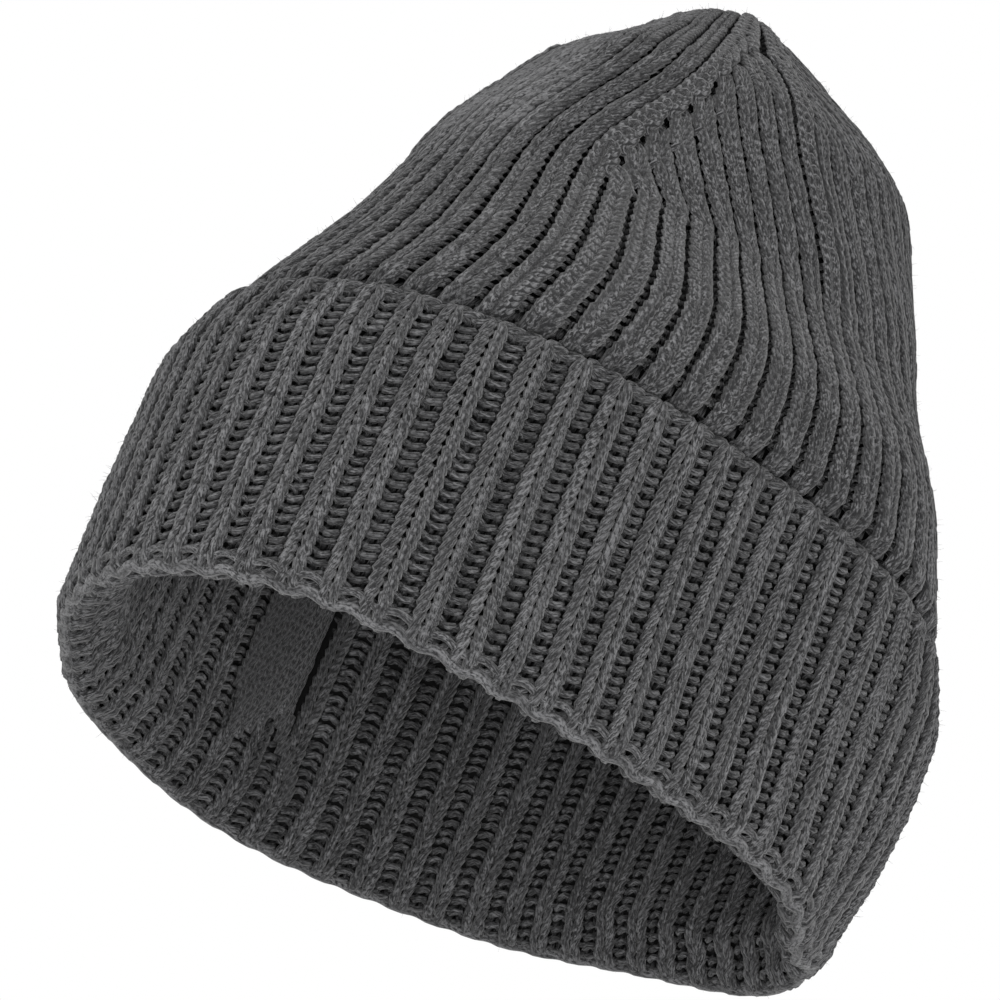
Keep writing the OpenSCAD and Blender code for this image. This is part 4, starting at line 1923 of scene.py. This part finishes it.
@dataclass(frozen=True)
class Studio:
    """A pale floor, a white background and plain soft light.

    The floor lies low enough for the cuff to turn down over it.
    """

    floor_z: float = -0.04
    floor_half: float = 3.0
    floor_grey: float = 0.8
    floor_rough: float = 0.9
    world: float = 0.52
    lamps: tuple[SoftLamp, ...] = (
        SoftLamp("key", (-2.0, 0.0, 1.6), 23, 1.1),
        SoftLamp("fill", (1.6, -1.0, 0.7), 1, 1.4),
        SoftLamp("low", (-0.5, -1.3, -0.75), 18, 1.0),
    )

    def build(self) -> None:
        """Make the floor, the world and the lamps."""
        self.floor()
        self.sky()
        for lamp in self.lamps:
            lamp.build()

    def floor(self) -> None:
        """A pale floor under the hat, which the low camera sees through from below."""
        h, z = self.floor_half, self.floor_z
        mesh = bpy.data.meshes.new("studio_floor")
        mesh.from_pydata([(-h, -h, z), (h, -h, z), (h, h, z), (-h, h, z)], [], [(0, 1, 2, 3)])
        floor = bpy.data.objects.new("studio_floor", mesh)
        floor.visible_shadow = False
        bpy.context.scene.collection.objects.link(floor)
        mat = bpy.data.materials.new("pale_floor")
        mat.use_nodes = True
        nodes, links = mat.node_tree.nodes, mat.node_tree.links
        shader, out = nodes["Principled BSDF"], nodes["Material Output"]
        shader.inputs["Base Color"].default_value = (self.floor_grey,) * 3 + (1,)
        shader.inputs["Roughness"].default_value = self.floor_rough
        clear, choose = nodes.new("ShaderNodeBsdfTransparent"), nodes.new("ShaderNodeMixShader")
        back = nodes.new("ShaderNodeNewGeometry")
        links.new(back.outputs["Backfacing"], choose.inputs[0])
        links.new(shader.outputs[0], choose.inputs[1])
        links.new(clear.outputs[0], choose.inputs[2])
        links.new(choose.outputs[0], out.inputs["Surface"])
        mesh.materials.append(mat)
        floor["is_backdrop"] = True

    def sky(self) -> None:
        """White for the eye, and a plain soft level for the object."""
        world = bpy.data.worlds.new("studio")
        bpy.context.scene.world = world
        world.use_nodes = True
        nodes, links = world.node_tree.nodes, world.node_tree.links
        back = nodes["Background"]
        back.inputs["Color"].default_value = (1, 1, 1, 1)
        rays = nodes.new("ShaderNodeLightPath").outputs
        seen = math_node(world.node_tree, "MAXIMUM", rays["Is Camera Ray"], rays["Is Glossy Ray"])
        seen = math_node(world.node_tree, "MAXIMUM", seen, rays["Is Transmission Ray"])
        level = math_node(world.node_tree, "MULTIPLY_ADD", seen, 1 - self.world, self.world)
        links.new(level, back.inputs["Strength"])


# --------------------------------------------------------------------------- image points

IMAGE_POINTS: dict[str, tuple[float | None, float | None]] = {
    "object_left": (57, None),
    "object_right": (942, None),
    "object_top": (None, 8),
    "object_bottom": (None, 992),
    "cuff_edge_left_end": (236, 297),
    "cuff_edge_middle": (606, 367),
    "cuff_edge_right_end": (938, 650),
    "wale_front_right_foot": (600, 166),
    "wale_front_left_bend": (809, 185),
    "rim_front_middle": (500, 697),
    "rim_lowest_corner": (785, 950),
    "rim_left_corner": (70, 622),
    "seam_flap_edge": (320, 630),
    "seam_flap_end": (280, 720),
    "rib_on_cuff": (474, 500),
    "rim_scallop": (517, 711),
}


@dataclass
class PhotoPoints:
    """The named image points: what they place, and how far each thing shows from its own."""

    camera: PhotoCamera
    tries: int = 4
    level_band: float = 4.0

    def ray(self, x: float, y: float) -> tuple[Vector, Vector]:
        """The camera's place, and the direction in which an image point is seen.

        Args:
            x: Pixels from the left.
            y: Pixels from the top.

        Returns:
            The ray's start, and its direction.
        """
        cam = bpy.context.scene.camera
        data, side = cam.data, float(PHOTO_SIDE)
        half = side / 2
        along = Vector(
            (
                x - half + data.shift_x * side,
                half - y + data.shift_y * side,
                -side * data.lens / data.sensor_width,
            )
        )
        turn = cam.matrix_world.to_3x3()
        return cam.matrix_world.translation, (turn @ along).normalized()

    def place(self, point: str, carriers: list[bpy.types.Object]) -> Vector:
        """Find where an image point lies on the pieces that carry a thing.

        Args:
            point: Name of the image point.
            carriers: Finished pieces.

        Returns:
            The nearest hit, or after a miss the carriers' place nearest the ray, in metres.
        """
        eye, along = self.ray(*IMAGE_POINTS[point])
        graph = bpy.context.evaluated_depsgraph_get()
        hits, near = [], []
        for obj in carriers:
            tree = BVHTree.FromObject(obj, graph)
            hit, _, _, gone = tree.ray_cast(eye, along)
            if hit is not None:
                hits.append((gone, hit))
                continue
            guess = eye + along * self.camera.distance
            for _ in range(self.tries):
                found = tree.find_nearest(guess)[0]
                guess = eye + along * max(0, (found - eye).dot(along))
            near.append(((found - guess).length, found))
        return min(hits or near, key=lambda pair: pair[0])[1]

    def corners(self, prefix: str) -> np.ndarray:
        """The finished vertices of the pieces whose names start so, loose fibres aside.

        Args:
            prefix: How the pieces' names start.

        Returns:
            Points in metres.
        """
        out = []
        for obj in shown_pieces():
            if obj.name.startswith(prefix) and not obj.name.endswith("fuzz"):
                co = np.empty(len(obj.data.vertices) * 3, np.float32)
                obj.data.vertices.foreach_get("co", co)
                out.append(co.reshape(-1, 3).astype(float))
        return np.concatenate(out)

    def report(self, things: dict[str, np.ndarray]) -> dict[str, list[float | None]]:
        """How far in x and y each thing shows from its image point, or a seam's right edge level with it.

        Args:
            things: For each point, the vertices of what it names, in metres.

        Returns:
            For each point the distance in x and in y, in pixels, or None where it names no such side.
        """
        every = self.camera.project(self.corners(""))
        low, high = every.min(0), every.max(0)
        out: dict[str, list[float | None]] = {}
        ends = {"object_left": (low, 0), "object_right": (high, 0)}
        ends |= {"object_top": (low, 1), "object_bottom": (high, 1)}
        for name, (at, axis) in ends.items():
            away = round(float(at[axis] - IMAGE_POINTS[name][axis]), 1)
            out[name] = [away, None] if axis == 0 else [None, away]
        for name, corners in things.items():
            point = np.array(IMAGE_POINTS[name], float)
            away = self.camera.project(corners) - point
            if name.startswith("seam"):
                level = away[np.abs(away[:, 1]) < self.level_band, 0]
                out[name] = [round(float(level.max()), 1) if len(level) else None, None]
                continue
            nearest = away[np.argmin(np.hypot(*away.T))]
            out[name] = [round(float(a), 1) for a in nearest]
        return out


def main() -> None:
    """Build the classes in order and write the two reports."""
    logging.basicConfig(level=logging.INFO, format="%(message)s")
    bpy.context.scene.view_settings.view_transform = "Standard"
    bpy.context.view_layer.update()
    camera = PhotoCamera()
    camera.build()
    points = PhotoPoints(camera)
    bpy.context.view_layer.update()
    rib = points.place("rib_on_cuff", [bpy.data.objects["cuff_band"]])
    hat = KnitHat()
    hat.knitting.phase = hat.fabric.rib_phase(np.array(rib) / MM)
    log.info("rib phase %.3f", hat.knitting.phase)
    hat.build()
    Studio().build()
    shown = points.report(hat.shown(points))
    log.info("points %s", shown)


if __name__ == "__main__":
    main()
